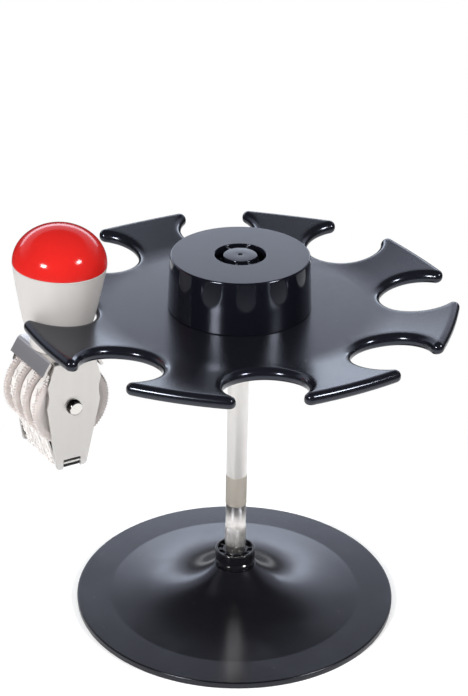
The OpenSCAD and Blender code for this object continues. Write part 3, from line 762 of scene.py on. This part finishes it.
# %% [markdown]
# ## Bands
# Each band is an endless rubber belt: over its drum, down both sides and under the platen.
# The loop is three arcs joined by straight runs. A rounded strip follows it, and raised type
# stands on the outside. The type is plain numbers and is mirrored, because a stamp prints the
# other way round. The numbers come from a text curve, which is quicker than drawing ten
# outlines by hand, and they become meshes so that each can sit square on its band.

# %% Path of a band
BAND_T = 1.0
BAND_GAP = 0.15
band_w = drum_w - 0.3
loop_r = DRUM_R + BAND_GAP
run = Vector((NOSE_X, NOSE_Z))
lift_off = math.degrees(math.atan2(run.y, run.x) + math.acos((loop_r - NOSE_R) / run.length))


def band_path():
    """The loop's points, each with its outward direction."""
    stations = [(0, 0, loop_r, lift_off, 180 - lift_off, 60),
                (-NOSE_X, NOSE_Z, NOSE_R, 180 - lift_off, 270, 10),
                (NOSE_X, NOSE_Z, NOSE_R, 270, 360 + lift_off, 10)]
    loop = []
    for x, z, radius, start, end, steps in stations:
        for i in range(steps + 1):
            a = math.radians(start + (end - start) * i / steps)
            outward = Vector((math.cos(a), math.sin(a)))
            loop.append((Vector((x, z)) + outward * radius, outward))
    return loop


def strip(y):
    """A band's closed strip round the loop, with its two outer edges rounded."""
    half = band_w / 2
    section = soften([(-half, 0, 0), (half, 0, 0), (half, BAND_T, 0.3), (-half, BAND_T, 0.3)], fine=3)
    loop = band_path()
    points = []
    for place, outward in loop:
        points += [(place.x + outward.x * h, y + across, place.y + outward.y * h) for across, h in section]
    count = len(section)
    faces = []
    for k in range(len(loop)):
        one, two = k * count, (k + 1) % len(loop) * count
        faces += [[one + i, one + (i + 1) % count, two + (i + 1) % count, two + i] for i in range(count)]
    return points, faces


def along_loop(distance):
    """Place and outward direction at a distance along the loop."""
    loop = band_path()
    loop.append(loop[0])
    for (a, out_a), (b, out_b) in zip(loop, loop[1:]):
        step = (b - a).length * (1 + BAND_T / loop_r * (out_a - out_b).length)
        if distance <= step:
            share = distance / max(step, 1e-6)
            return a.lerp(b, share), out_a.lerp(out_b, share).normalized()
        distance -= step
    return along_loop(distance)


path_length = sum((b - a).length for (a, _), (b, _) in zip(band_path(), band_path()[1:] + band_path()[:1]))
print("length of a band's loop:", round(path_length, 1), "mm")

# %% Raised numbers
TYPE_TALL = 3.5
TYPE_RISE = 0.42
TYPE_PITCH = 5.4
number_shapes = {}


def number_shape(text):
    """Points and faces of a mirrored number, centred, in millimetres, from z = 0 up."""
    if text in number_shapes:
        return number_shapes[text]
    curve = bpy.data.curves.new("number", "FONT")
    curve.body = text
    curve.size = TYPE_TALL * 1.38
    curve.align_x = "CENTER"
    curve.extrude = (TYPE_RISE + 0.25) / 2
    curve.bevel_depth = 0.05
    curve.resolution_u = 2
    letter = bpy.data.objects.new("number", curve)
    mesh = bpy.data.meshes.new_from_object(letter)
    high = max(v.co.y for v in mesh.vertices)
    wide = max(v.co.x for v in mesh.vertices) - min(v.co.x for v in mesh.vertices)
    squeeze = min(1.0, (band_w - 0.9) / wide)
    points = [(-v.co.x * squeeze, v.co.y - high / 2, v.co.z + TYPE_RISE / 2 - 0.12) for v in mesh.vertices]
    faces = [list(p.vertices)[::-1] for p in mesh.polygons]
    bpy.data.objects.remove(letter)
    number_shapes[text] = (points, faces)
    return number_shapes[text]


def type_on_band(y, texts):
    """Numbers along the whole loop, their feet towards the way the band runs."""
    shapes = []
    count = int(path_length // TYPE_PITCH)
    for i in range(count):
        place, outward = along_loop(path_length * (i + 0.5) / count)
        forward = Vector((-outward.y, 0, outward.x))
        out3 = Vector((outward.x, 0, outward.y))
        across = forward.cross(out3)
        turn = Matrix((across, forward, out3)).transposed()
        middle = Vector((place.x, y, place.y)) + out3 * BAND_T
        shape = number_shape(texts[i % len(texts)])
        shapes.append(([tuple(middle + turn @ Vector(p)) for p in shape[0]], shape[1]))
    return shapes


# %% Bands
band_texts = {
    "year": [str(n) for n in range(24, 36)],
    "month": [str(n) for n in range(1, 13)],
    "day": [str(n) for n in range(1, 32)],
}
band_ys = {"year": year_y - RIM_T - drum_w / 2, "month": month_y - drum_w / 2, "day": day_y - drum_w / 2}
type_bands = []
for which, y in band_ys.items():
    shape = joined(strip(y), *type_on_band(y, band_texts[which]))
    type_bands.append(make_piece(f"{which}_type_band", *shape, "date_stamp", [f"{which}_band"],
                                 stamp_place, sharp=45, weighted=False))

# %% [markdown]
# ## Floor, background and lamps
# The object stands on a white sweep, so floor and background run into one another. The world
# gives three answers. To the camera it is plain white. To a mirroring surface it is a studio:
# a pale wall behind the object up to a sharp height, and a dark room above and in front. To
# everything else it is a dim, even fill. The floor is lit like any matt surface and keeps the
# object's shadow. A little way off it is plain white to the camera, and far off it is dark to
# a mirroring surface, so that the wall stands out. From below one looks through it.

# %% Node helpers
def new_material(name):
    """A fresh node material, with its tree and its output."""
    material = bpy.data.materials.new(name)
    material.use_nodes = True
    tree = material.node_tree
    tree.nodes.clear()
    return material, tree, tree.nodes.new("ShaderNodeOutputMaterial")


def put(tree, socket, value):
    """Sets an input socket to a number, or links an output to it."""
    if isinstance(value, (int, float)):
        socket.default_value = value
    elif value is not None:
        tree.links.new(value, socket)


def math_node(tree, operation, a, b=None):
    """The result of a math node whose inputs are numbers or sockets."""
    node = tree.nodes.new("ShaderNodeMath")
    node.operation = operation
    put(tree, node.inputs[0], a)
    put(tree, node.inputs[1], b)
    return node.outputs[0]


def smooth_step(tree, value, low, high):
    """A soft step of a value between two levels."""
    node = tree.nodes.new("ShaderNodeMapRange")
    node.interpolation_type = "SMOOTHSTEP"
    for label, source in (("Value", value), ("From Min", low), ("From Max", high)):
        put(tree, node.inputs[label], source)
    return node.outputs["Result"]


def mixed(tree, factor, one, two):
    """One shader where the factor is 0, and another where it is 1."""
    node = tree.nodes.new("ShaderNodeMixShader")
    for socket, source in zip(node.inputs, (factor, one, two)):
        tree.links.new(source, socket)
    return node.outputs[0]


def coloured(tree, kind, colour, strength=None):
    """A diffuse, emission or background shader with a plain colour and a strength."""
    node = tree.nodes.new(kind)
    node.inputs["Color"].default_value = (*colour, 1)
    if strength is not None:
        put(tree, node.inputs["Strength"], strength)
    return node.outputs[0]


# %% World
WHITE = (1, 1, 1)
STUDIO_TINT = (0.90, 0.93, 1.08)
STUDIO_LEVELS = ((0.0, 0.08), (0.12, 0.10), (0.24, 0.9), (0.565, 0.9), (0.60, 0.5), (0.64, 0.04),
                 (0.80, 0.03))
DARK_ROOM = 0.025
FILL = 0.45

scene = bpy.context.scene
scene.view_settings.view_transform = "Standard"
world = bpy.data.worlds.new("white_sweep")
world.use_nodes = True
scene.world = world
sky = world.node_tree
sky.nodes.clear()

way = sky.nodes.new("ShaderNodeTexCoord")
axes = sky.nodes.new("ShaderNodeSeparateXYZ")
sky.links.new(way.outputs["Generated"], axes.inputs[0])
by_height = sky.nodes.new("ShaderNodeValToRGB")
stops = by_height.color_ramp.elements
stops[0].position, stops[1].position = STUDIO_LEVELS[0][0], STUDIO_LEVELS[-1][0]
for height, _ in STUDIO_LEVELS[1:-1]:
    stops.new(height)
for stop, (_, level) in zip(stops, STUDIO_LEVELS):
    stop.color = (level, level, level, 1)
sky.links.new(axes.outputs["Z"], by_height.inputs["Fac"])
behind = smooth_step(sky, axes.outputs["Y"], 0.0, 0.8)
wall = math_node(sky, "MULTIPLY", by_height.outputs["Color"], behind)
studio = math_node(sky, "ADD", wall, DARK_ROOM)

rays = sky.nodes.new("ShaderNodeLightPath")
mirrored = math_node(sky, "MAXIMUM", rays.outputs["Is Glossy Ray"], rays.outputs["Is Transmission Ray"])
fill_or_studio = mixed(sky, mirrored, coloured(sky, "ShaderNodeBackground", WHITE, FILL),
                       coloured(sky, "ShaderNodeBackground", STUDIO_TINT, studio))
shown = mixed(sky, rays.outputs["Is Camera Ray"], fill_or_studio,
              coloured(sky, "ShaderNodeBackground", WHITE, 1.0))
sky.links.new(shown, sky.nodes.new("ShaderNodeOutputWorld").inputs["Surface"])
print("world:", world.name, "with", len(stops), "levels")

# %% Floor
FLOOR_R = 3.0
FLOOR_GLOW = 0.22
SHADOW_ENDS = (0.06, 0.16)
DARK_STARTS = (0.28, 0.42)

floor_mesh = bpy.data.meshes.new("white_floor")
floor_shape = bmesh.new()
bmesh.ops.create_circle(floor_shape, cap_ends=True, radius=FLOOR_R, segments=96)
floor_shape.to_mesh(floor_mesh)
floor_shape.free()
floor = bpy.data.objects.new("white_floor", floor_mesh)
floor.location.z = -0.1 * MM
scene.collection.objects.link(floor)

floor_material, tree, output = new_material("white_floor")
paths = tree.nodes.new("ShaderNodeLightPath")
to_camera = paths.outputs["Is Camera Ray"]
place = tree.nodes.new("ShaderNodeTexCoord")
from_middle = tree.nodes.new("ShaderNodeVectorMath")
from_middle.operation = "LENGTH"
tree.links.new(place.outputs["Object"], from_middle.inputs[0])
distance = from_middle.outputs["Value"]
lit = tree.nodes.new("ShaderNodeAddShader")
tree.links.new(coloured(tree, "ShaderNodeBsdfDiffuse", (0.93, 0.93, 0.93)), lit.inputs[0])
glow = math_node(tree, "MULTIPLY", to_camera, FLOOR_GLOW)
tree.links.new(coloured(tree, "ShaderNodeEmission", WHITE, glow), lit.inputs[1])
unlit = math_node(tree, "MULTIPLY", smooth_step(tree, distance, *DARK_STARTS), paths.outputs["Is Glossy Ray"])
surface = mixed(tree, unlit, lit.outputs[0], coloured(tree, "ShaderNodeBsdfDiffuse", (0.05, 0.05, 0.05)))
plain = math_node(tree, "MULTIPLY", smooth_step(tree, distance, *SHADOW_ENDS), to_camera)
surface = mixed(tree, plain, surface, coloured(tree, "ShaderNodeEmission", WHITE, 1.0))
side = tree.nodes.new("ShaderNodeNewGeometry")
surface = mixed(tree, side.outputs["Backfacing"], surface, coloured(tree, "ShaderNodeBsdfTransparent", WHITE))
tree.links.new(surface, output.inputs["Surface"])
floor_mesh.materials.append(floor_material)
print("floor:", len(tree.nodes), "nodes")

# %% [markdown]
# Two small soft boxes in front give the highlights that the red cap shows, one on each side. A
# low panel stands close behind, and its mirror image is the bright arc on the back of the
# flared base. Each lamp is given by its radiance, because that is what a surface mirrors. The
# power in watts follows, since a flat lamp of radiance L and area A gives off pi times L times
# A. The boxes are given by the angle they fill as well, which is easier to read off a photo.

# %% Lamps
BOX_DISTANCE = 1.3
LOOK_AT = Vector((0, 0, 0.1))


def area_lamp(name, place, facing, wide, high, radiance, colour=WHITE, shape="ELLIPSE"):
    """A flat lamp at a place, facing a way, with its size in metres and its radiance."""
    lamp_data = bpy.data.lights.new(name, "AREA")
    lamp_data.shape = shape
    lamp_data.size, lamp_data.size_y = wide, high
    lamp_data.energy = math.pi * radiance * wide * high * (math.pi / 4 if shape == "ELLIPSE" else 1)
    lamp_data.color = colour
    lamp = bpy.data.objects.new(name, lamp_data)
    lamp.location = place
    lamp.rotation_euler = facing.to_track_quat("-Z", "Y").to_euler()
    lamp.visible_camera = False
    scene.collection.objects.link(lamp)
    print(f"{name}: {lamp_data.energy:.1f} W")


def across(degrees):
    """How wide something is that fills an angle at the boxes' distance."""
    return 2 * BOX_DISTANCE * math.tan(math.radians(degrees) / 2)


for name, way_there, wide, high, radiance in (("left_box", (-0.641, -0.627, 0.444), 14, 9.5, 75),
                                              ("right_box", (0.640, -0.510, 0.562), 14, 9, 62)):
    way_there = Vector(way_there).normalized()
    area_lamp(name, LOOK_AT + way_there * BOX_DISTANCE, -way_there, across(wide), across(high), radiance)
area_lamp("back_panel", (0, 0.72, 0.325), Vector((0, -1, 0)), 1.3, 0.15, 3.4, (0.78, 0.87, 1.0), "RECTANGLE")

# %% [markdown]
# ## Shared surface effects
# Moulded grain, drawn streaks, smudges and dust come back on several pieces at different
# sizes. Each is a small node group: it is made once, and every material gives it its own
# numbers. All of them read object coordinates, so a pattern keeps its real size in
# millimetres and turns with its piece.

# %% Helpers for node groups
def new_group(name, inputs, outputs, kind="NodeSocketFloat"):
    """A node group with inputs (name, default), named float outputs, and its two end nodes."""
    group = bpy.data.node_groups.new(name, "ShaderNodeTree")
    for label, value in inputs:
        socket = group.interface.new_socket(name=label, in_out="INPUT", socket_type=kind)
        if value is not None:
            socket.default_value = value
    for label in outputs:
        group.interface.new_socket(name=label, in_out="OUTPUT", socket_type="NodeSocketFloat")
    return group, group.nodes.new("NodeGroupInput").outputs, group.nodes.new("NodeGroupOutput").inputs


def object_place(tree, stretch=(1, 1, 1)):
    """Object coordinates, stretched."""
    place = tree.nodes.new("ShaderNodeTexCoord")
    mapping = tree.nodes.new("ShaderNodeMapping")
    mapping.inputs["Scale"].default_value = stretch
    tree.links.new(place.outputs["Object"], mapping.inputs["Vector"])
    return mapping.outputs["Vector"]


def noise(tree, vector, scale, detail, rough):
    """A noise texture on a vector. The scale may be a number or a socket."""
    texture = tree.nodes.new("ShaderNodeTexNoise")
    for label, value in (("Vector", vector), ("Scale", scale), ("Detail", detail), ("Roughness", rough)):
        put(tree, texture.inputs[label], value)
    return texture.outputs["Fac"]


# %% Grain, smudges, dust and streaks
# Moulded grain: a fine noise, with a weaker one three times as coarse.
grain_group, given, result = new_group("moulded_grain", [("Grain mm", 0.5)], ["Height"])
place = object_place(grain_group)
fine = noise(grain_group, place, math_node(grain_group, "DIVIDE", 1000.0, given["Grain mm"]), 2.5, 0.6)
coarse = noise(grain_group, place, math_node(grain_group, "DIVIDE", 333.0, given["Grain mm"]), 1.0, 0.5)
both = math_node(grain_group, "ADD", fine, math_node(grain_group, "MULTIPLY", coarse, 0.5))
grain_group.links.new(both, result["Height"])

# Smudges: broad soft patches where hands have been.
smudge_group, given, result = new_group("smudges", [("Patch mm", 14.0), ("Amount", 1.0)], ["Mask"])
patch_scale = math_node(smudge_group, "DIVIDE", 1000.0, given["Patch mm"])
patches = noise(smudge_group, object_place(smudge_group), patch_scale, 3.0, 0.55)
patches = smooth_step(smudge_group, patches, 0.42, 0.7)
smudge_group.links.new(math_node(smudge_group, "MULTIPLY", patches, given["Amount"]), result["Mask"])

# Dust: small cells, of which only a few hold a speck.
dust_group, given, result = new_group("dust", [("Spacing mm", 2.0), ("Share", 0.25)], ["Mask"])
cells = dust_group.nodes.new("ShaderNodeTexVoronoi")
dust_group.links.new(object_place(dust_group), cells.inputs["Vector"])
dust_group.links.new(math_node(dust_group, "DIVIDE", 1000.0, given["Spacing mm"]), cells.inputs["Scale"])
split = dust_group.nodes.new("ShaderNodeSeparateColor")
dust_group.links.new(cells.outputs["Color"], split.inputs["Color"])
chosen = math_node(dust_group, "LESS_THAN", split.outputs["Red"], given["Share"])
speck_r = math_node(dust_group, "MULTIPLY", split.outputs["Green"], 0.10)
near = math_node(dust_group, "LESS_THAN", cells.outputs["Distance"], speck_r)
dust_group.links.new(math_node(dust_group, "MULTIPLY", chosen, near), result["Mask"])

# Streaks: noise drawn out along one way. Each material stretches its own coordinates.
streak_group, given, result = new_group("drawn_streaks", [("Vector", None)], ["Fine", "Broad"],
                                        "NodeSocketVector")
streak_group.links.new(noise(streak_group, given["Vector"], 1.0, 3.0, 0.65), result["Fine"])
streak_group.links.new(noise(streak_group, given["Vector"], 0.12, 2.0, 0.5), result["Broad"])
print("node groups:", sorted(g.name for g in bpy.data.node_groups))


# %% [markdown]
# ## Materials
# `Finish` starts each material: a Principled shader with its constant values, and small
# helpers to vary colour and roughness over the surface. The dark plastics differ mostly in
# roughness, because their colour is nearly black and what one sees is what they mirror.

# %% Material helpers
class Finish:
    """A material in the making: its tree, its shader, and what varies over the surface."""

    def __init__(self, name, colour, roughness, metallic=0.0, **constants):
        self.material, self.tree, output = new_material(name)
        shader = self.tree.nodes.new("ShaderNodeBsdfPrincipled")
        self.tree.links.new(shader.outputs["BSDF"], output.inputs["Surface"])
        self.inputs = shader.inputs
        self.inputs["Base Color"].default_value = (*colour, 1)
        self.inputs["Roughness"].default_value = roughness
        self.inputs["Metallic"].default_value = metallic
        for label, value in constants.items():
            self.inputs[label.replace("_", " ")].default_value = value
        self.normal = None

    def math(self, operation, a, b=None):
        """A math node in this material."""
        return math_node(self.tree, operation, a, b)

    def group(self, group, **values):
        """Places a node group with its own values and gives its outputs."""
        node = self.tree.nodes.new("ShaderNodeGroup")
        node.node_tree = group
        for label, value in values.items():
            put(self.tree, node.inputs[label.replace("_", " ")], value)
        return node.outputs

    def axis(self, kind, letter):
        """One component of the object's coordinates or of its own normal."""
        place = self.tree.nodes.new("ShaderNodeTexCoord")
        axes = self.tree.nodes.new("ShaderNodeSeparateXYZ")
        self.tree.links.new(place.outputs[kind], axes.inputs[0])
        return axes.outputs[letter]

    def height(self, low, high):
        """A soft step over the object's own height, given in millimetres."""
        return smooth_step(self.tree, self.axis("Object", "Z"), low * MM, high * MM)

    def tint(self, mask, colour):
        """Moves the base colour towards another where a mask is high."""
        mix = self.tree.nodes.new("ShaderNodeMix")
        mix.data_type = "RGBA"
        base = self.inputs["Base Color"]
        if base.is_linked:
            self.tree.links.new(base.links[0].from_socket, mix.inputs["A"])
        else:
            mix.inputs["A"].default_value = base.default_value
        mix.inputs["B"].default_value = (*colour, 1)
        self.tree.links.new(mask, mix.inputs["Factor"])
        self.tree.links.new(mix.outputs["Result"], base)

    def vary_roughness(self, mask, low, high):
        """Roughness that runs from low to high with a mask."""
        node = self.tree.nodes.new("ShaderNodeMapRange")
        for label, value in (("Value", mask), ("To Min", low), ("To Max", high)):
            put(self.tree, node.inputs[label], value)
        self.tree.links.new(node.outputs["Result"], self.inputs["Roughness"])

    def add_roughness(self, mask, amount):
        """Adds a mask times an amount to the roughness."""
        socket = self.inputs["Roughness"]
        before = socket.links[0].from_socket if socket.is_linked else socket.default_value
        self.tree.links.new(self.math("ADD", before, self.math("MULTIPLY", mask, amount)), socket)

    def bump(self, height, depth_mm, strength=1.0):
        """A bump of a depth in millimetres, chained after any bump before it."""
        node = self.tree.nodes.new("ShaderNodeBump")
        node.inputs["Distance"].default_value = depth_mm * MM
        for label, value in (("Height", height), ("Strength", strength), ("Normal", self.normal)):
            put(self.tree, node.inputs[label], value)
        self.normal = node.outputs["Normal"]
        self.tree.links.new(self.normal, self.inputs["Normal"])

    def smudges(self, patch, amount=1.0):
        """The smudge mask, with patches of a size in millimetres."""
        return self.group(smudge_group, Patch_mm=patch, Amount=amount)["Mask"]

    def smudged(self, patch, low, high):
        """Roughness that runs from low to high with the smudges."""
        self.vary_roughness(self.smudges(patch), low, high)

    def dusty(self, spacing, share, colour):
        """Specks of a colour: their spacing in millimetres, and the share of places with one."""
        self.tint(self.group(dust_group, Spacing_mm=spacing, Share=share)["Mask"], colour)

    def grainy(self, grain, depth_mm, strength=1.0):
        """A bump of moulded grain, with its size and depth in millimetres."""
        self.bump(self.group(grain_group, Grain_mm=grain)["Height"], depth_mm, strength)

    def give(self, *pieces, slot=None):
        """Gives the finished material to pieces, made here or carried over from the CAD."""
        for piece in pieces:
            if piece.material_slots:
                for place in piece.material_slots:
                    place.material = self.material
            else:
                piece.data.materials.append(self.material)
        print(f"{self.material.name}: {len(self.tree.nodes)} nodes on {len(pieces)} pieces")


# %% Black plate, knob and collar
finish = Finish("plate_plastic", (0.0068, 0.0073, 0.0105), 0.24, Specular_IOR_Level=0.58,
                Specular_Tint=(0.80, 0.85, 1.0, 1))
on_top = smooth_step(finish.tree, finish.axis("Normal", "Z"), 0.90, 0.985)
finish.vary_roughness(on_top, 0.15, 0.24)
finish.add_roughness(finish.smudges(18.0), 0.02)
finish.dusty(2.6, 0.10, (0.10, 0.10, 0.11))
finish.grainy(0.55, 0.010, on_top)
finish.give(carousel_skin, slot="plate_plastic")

finish = Finish("knob_plastic", (0.0048, 0.0052, 0.0085), 0.06, Specular_IOR_Level=0.64,
                Specular_Tint=(0.82, 0.86, 1.0, 1))
on_top = smooth_step(finish.tree, finish.axis("Normal", "Z"), 0.93, 0.99)
finish.vary_roughness(on_top, 0.085, 0.30)
finish.add_roughness(finish.smudges(9.0), 0.02)
finish.dusty(2.2, 0.07, (0.12, 0.12, 0.13))
finish.grainy(0.35, 0.004, on_top)
finish.give(knob_skin, slot="knob_plastic")

finish = Finish("collar_plastic", (0.007, 0.007, 0.009), 0.09, Specular_IOR_Level=0.6)
finish.add_roughness(finish.smudges(4.0), 0.08)
finish.dusty(1.2, 0.08, (0.15, 0.15, 0.15))
finish.give(collar_ring, slot="collar_plastic")

# %% Painted base
finish = Finish("base_paint", (0.006, 0.006, 0.0075), 0.17, Specular_IOR_Level=0.5,
                Specular_Tint=(0.86, 0.88, 1.0, 1))
finish.smudged(22.0, 0.18, 0.24)
finish.dusty(2.4, 0.14, (0.09, 0.09, 0.10))
finish.grainy(0.9, 0.007)
finish.give(base_skin, slot="base_paint")

# %% Bright pole
# The streaks run along the rod. Its foot is a little stained, and the diamond knurl is duller.
STAIN_FADES = (24, 46)
finish = Finish("pole_steel", (0.92, 0.895, 0.87), 0.3, 1.0)
streaks = finish.group(streak_group, Vector=object_place(finish.tree, (2600, 2600, 60)))
finish.vary_roughness(streaks["Fine"], 0.26, 0.42)
at_foot = finish.math("SUBTRACT", 1.0, finish.height(*STAIN_FADES))
finish.tint(finish.math("MULTIPLY", finish.smudges(2.4), finish.math("MULTIPLY", at_foot, 0.35)),
            (0.44, 0.38, 0.35))
band_low, band_high = DIAMOND_BAND
below_top = finish.math("SUBTRACT", 1.0, finish.height(band_high - 0.2, band_high + 0.2))
in_band = finish.math("MULTIPLY", finish.height(band_low - 0.1, band_low + 0.3), below_top)
finish.tint(finish.math("MULTIPLY", in_band, 0.75), (0.46, 0.41, 0.34))
finish.add_roughness(in_band, 0.12)
finish.bump(streaks["Fine"], 0.003)
finish.give(plated_rod, slot="pole_steel")

# %% Handle and cap
finish = Finish("handle_plastic", (0.53, 0.505, 0.49), 0.38)
finish.smudged(8.0, 0.33, 0.44)
finish.tint(finish.smudges(26.0, 0.35), (0.49, 0.465, 0.445))
finish.dusty(2.0, 0.06, (0.35, 0.33, 0.31))
finish.grainy(0.5, 0.004)
finish.give(grey_cone, slot="handle_plastic")

finish = Finish("cap_plastic", (0.57, 0.016, 0.013), 0.12, Specular_IOR_Level=0.24)
finish.smudged(7.0, 0.10, 0.15)
finish.tint(finish.smudges(18.0, 0.4), (0.51, 0.014, 0.012))
finish.grainy(2.2, 0.004)
finish.give(red_cap, slot="cap_plastic")

# %% [markdown]
# The frame is brushed along its length, and then nickel-plated. The pin's side is tinted nearly
# black as painted shade and painted dark reflection, and only its turned end keeps the steel's colour.

# %% Nickel frame, tongue and axle
finish = Finish("frame_nickel", (0.72, 0.695, 0.67), 0.3, 1.0)
streaks = finish.group(streak_group, Vector=object_place(finish.tree, (4200, 260, 260)))
finish.vary_roughness(streaks["Fine"], 0.24, 0.44)
finish.tint(finish.math("MULTIPLY", streaks["Broad"], 0.35), (0.60, 0.575, 0.55))
finish.dusty(1.6, 0.10, (0.32, 0.29, 0.26))
finish.bump(streaks["Fine"], 0.004)
finish.give(bent_frame, flat_tongue, slot="frame_nickel")

finish = Finish("pin_steel", (0.76, 0.735, 0.70), 0.18, 1.0)
finish.smudged(1.5, 0.13, 0.3)
end_face = smooth_step(finish.tree, finish.math("ABSOLUTE", finish.axis("Normal", "Y")), 0.35, 0.75)
# Painted shade and painted reflection: every face but the pin's ends is tinted nearly black.
finish.tint(finish.math("SUBTRACT", 1.0, end_face), (0.035, 0.030, 0.028))
finish.grainy(0.3, 0.003)
finish.give(turned_pin, slot="frame_nickel")

# %% Pale wheels, bands and the black platen
# The wheels' base colour is their own off-white, set darker than the bands' as painted shade for the shadowed
# wheel stack and tooth gaps.
finish = Finish("wheel_plastic", (0.60, 0.545, 0.525), 0.42, Subsurface_Weight=0.25,
                Subsurface_Radius=(1.0, 0.8, 0.7), Subsurface_Scale=2 * MM)
finish.tint(finish.smudges(5.0, 0.5), (0.52, 0.465, 0.445))
finish.smudged(3.0, 0.36, 0.5)
finish.grainy(0.4, 0.006)
finish.give(*thumb_wheels, slot="wheel_plastic")

finish = Finish("band_rubber", (0.76, 0.725, 0.705), 0.55, Subsurface_Weight=0.2,
                Subsurface_Radius=(1.0, 0.8, 0.7), Subsurface_Scale=1.5 * MM)
finish.tint(finish.smudges(3.5, 0.6), (0.68, 0.635, 0.61))
finish.grainy(0.3, 0.008)
finish.give(*type_bands, slot="band_rubber")

finish = Finish("platen_plastic", (0.005, 0.0045, 0.0045), 0.35, Specular_IOR_Level=0.25)
finish.smudged(2.0, 0.3, 0.45)
finish.grainy(0.3, 0.006)
finish.give(platen_bar, slot="platen_plastic")

# %% [markdown]
# ## Pieces that stay as the solid model has them
# The foam under the base, the ballast, the core, screws, washers, bush and stud are mostly
# hidden, but someone who lifts the stand or looks up under the plate sees them. They keep
# their solid meshes and only get their finishes.

# %% Inner pieces
finish = Finish("foam_sheet", (0.018, 0.018, 0.020), 0.9)
foam_cells = finish.tree.nodes.new("ShaderNodeTexVoronoi")
foam_cells.inputs["Scale"].default_value = 1400
finish.tree.links.new(object_place(finish.tree), foam_cells.inputs["Vector"])
finish.tint(foam_cells.outputs["Distance"], (0.045, 0.045, 0.048))
finish.bump(foam_cells.outputs["Distance"], 0.12)
finish.give(nodes["base_pad"])

for label, colour, roughness, patch, low, high, grain, depth, name in (
        ("core_plastic", (0.011, 0.011, 0.012), 0.45, 6.0, 0.4, 0.55, 0.5, 0.01, "hub_core"),
        ("bush_plastic", (0.78, 0.78, 0.76), 0.4, 4.0, 0.35, 0.5, 0.6, 0.006, "hub_bush")):
    finish = Finish(label, colour, roughness)
    finish.smudged(patch, low, high)
    finish.grainy(grain, depth)
    finish.give(nodes[name])

for label, colour, roughness, names in (
        ("ballast_steel", (0.30, 0.30, 0.31), 0.42, ["ballast_disc"]),
        ("screw_steel", (0.58, 0.58, 0.60), 0.3,
         ["base_screw", "top_washer", "top_screw", "knob_screws", "handle_stud"]),
        ("washer_brass", (0.60, 0.40, 0.12), 0.28, ["thrust_washer"])):
    finish = Finish(label, colour, roughness, 1.0)
    turned_marks = finish.group(streak_group, Vector=object_place(finish.tree, (900, 900, 900)))
    finish.vary_roughness(turned_marks["Fine"], roughness - 0.08, roughness + 0.12)
    finish.tint(finish.math("MULTIPLY", turned_marks["Broad"], 0.4), tuple(0.7 * c for c in colour))
    finish.bump(turned_marks["Fine"], 0.004)
    finish.give(*[nodes[name] for name in names])
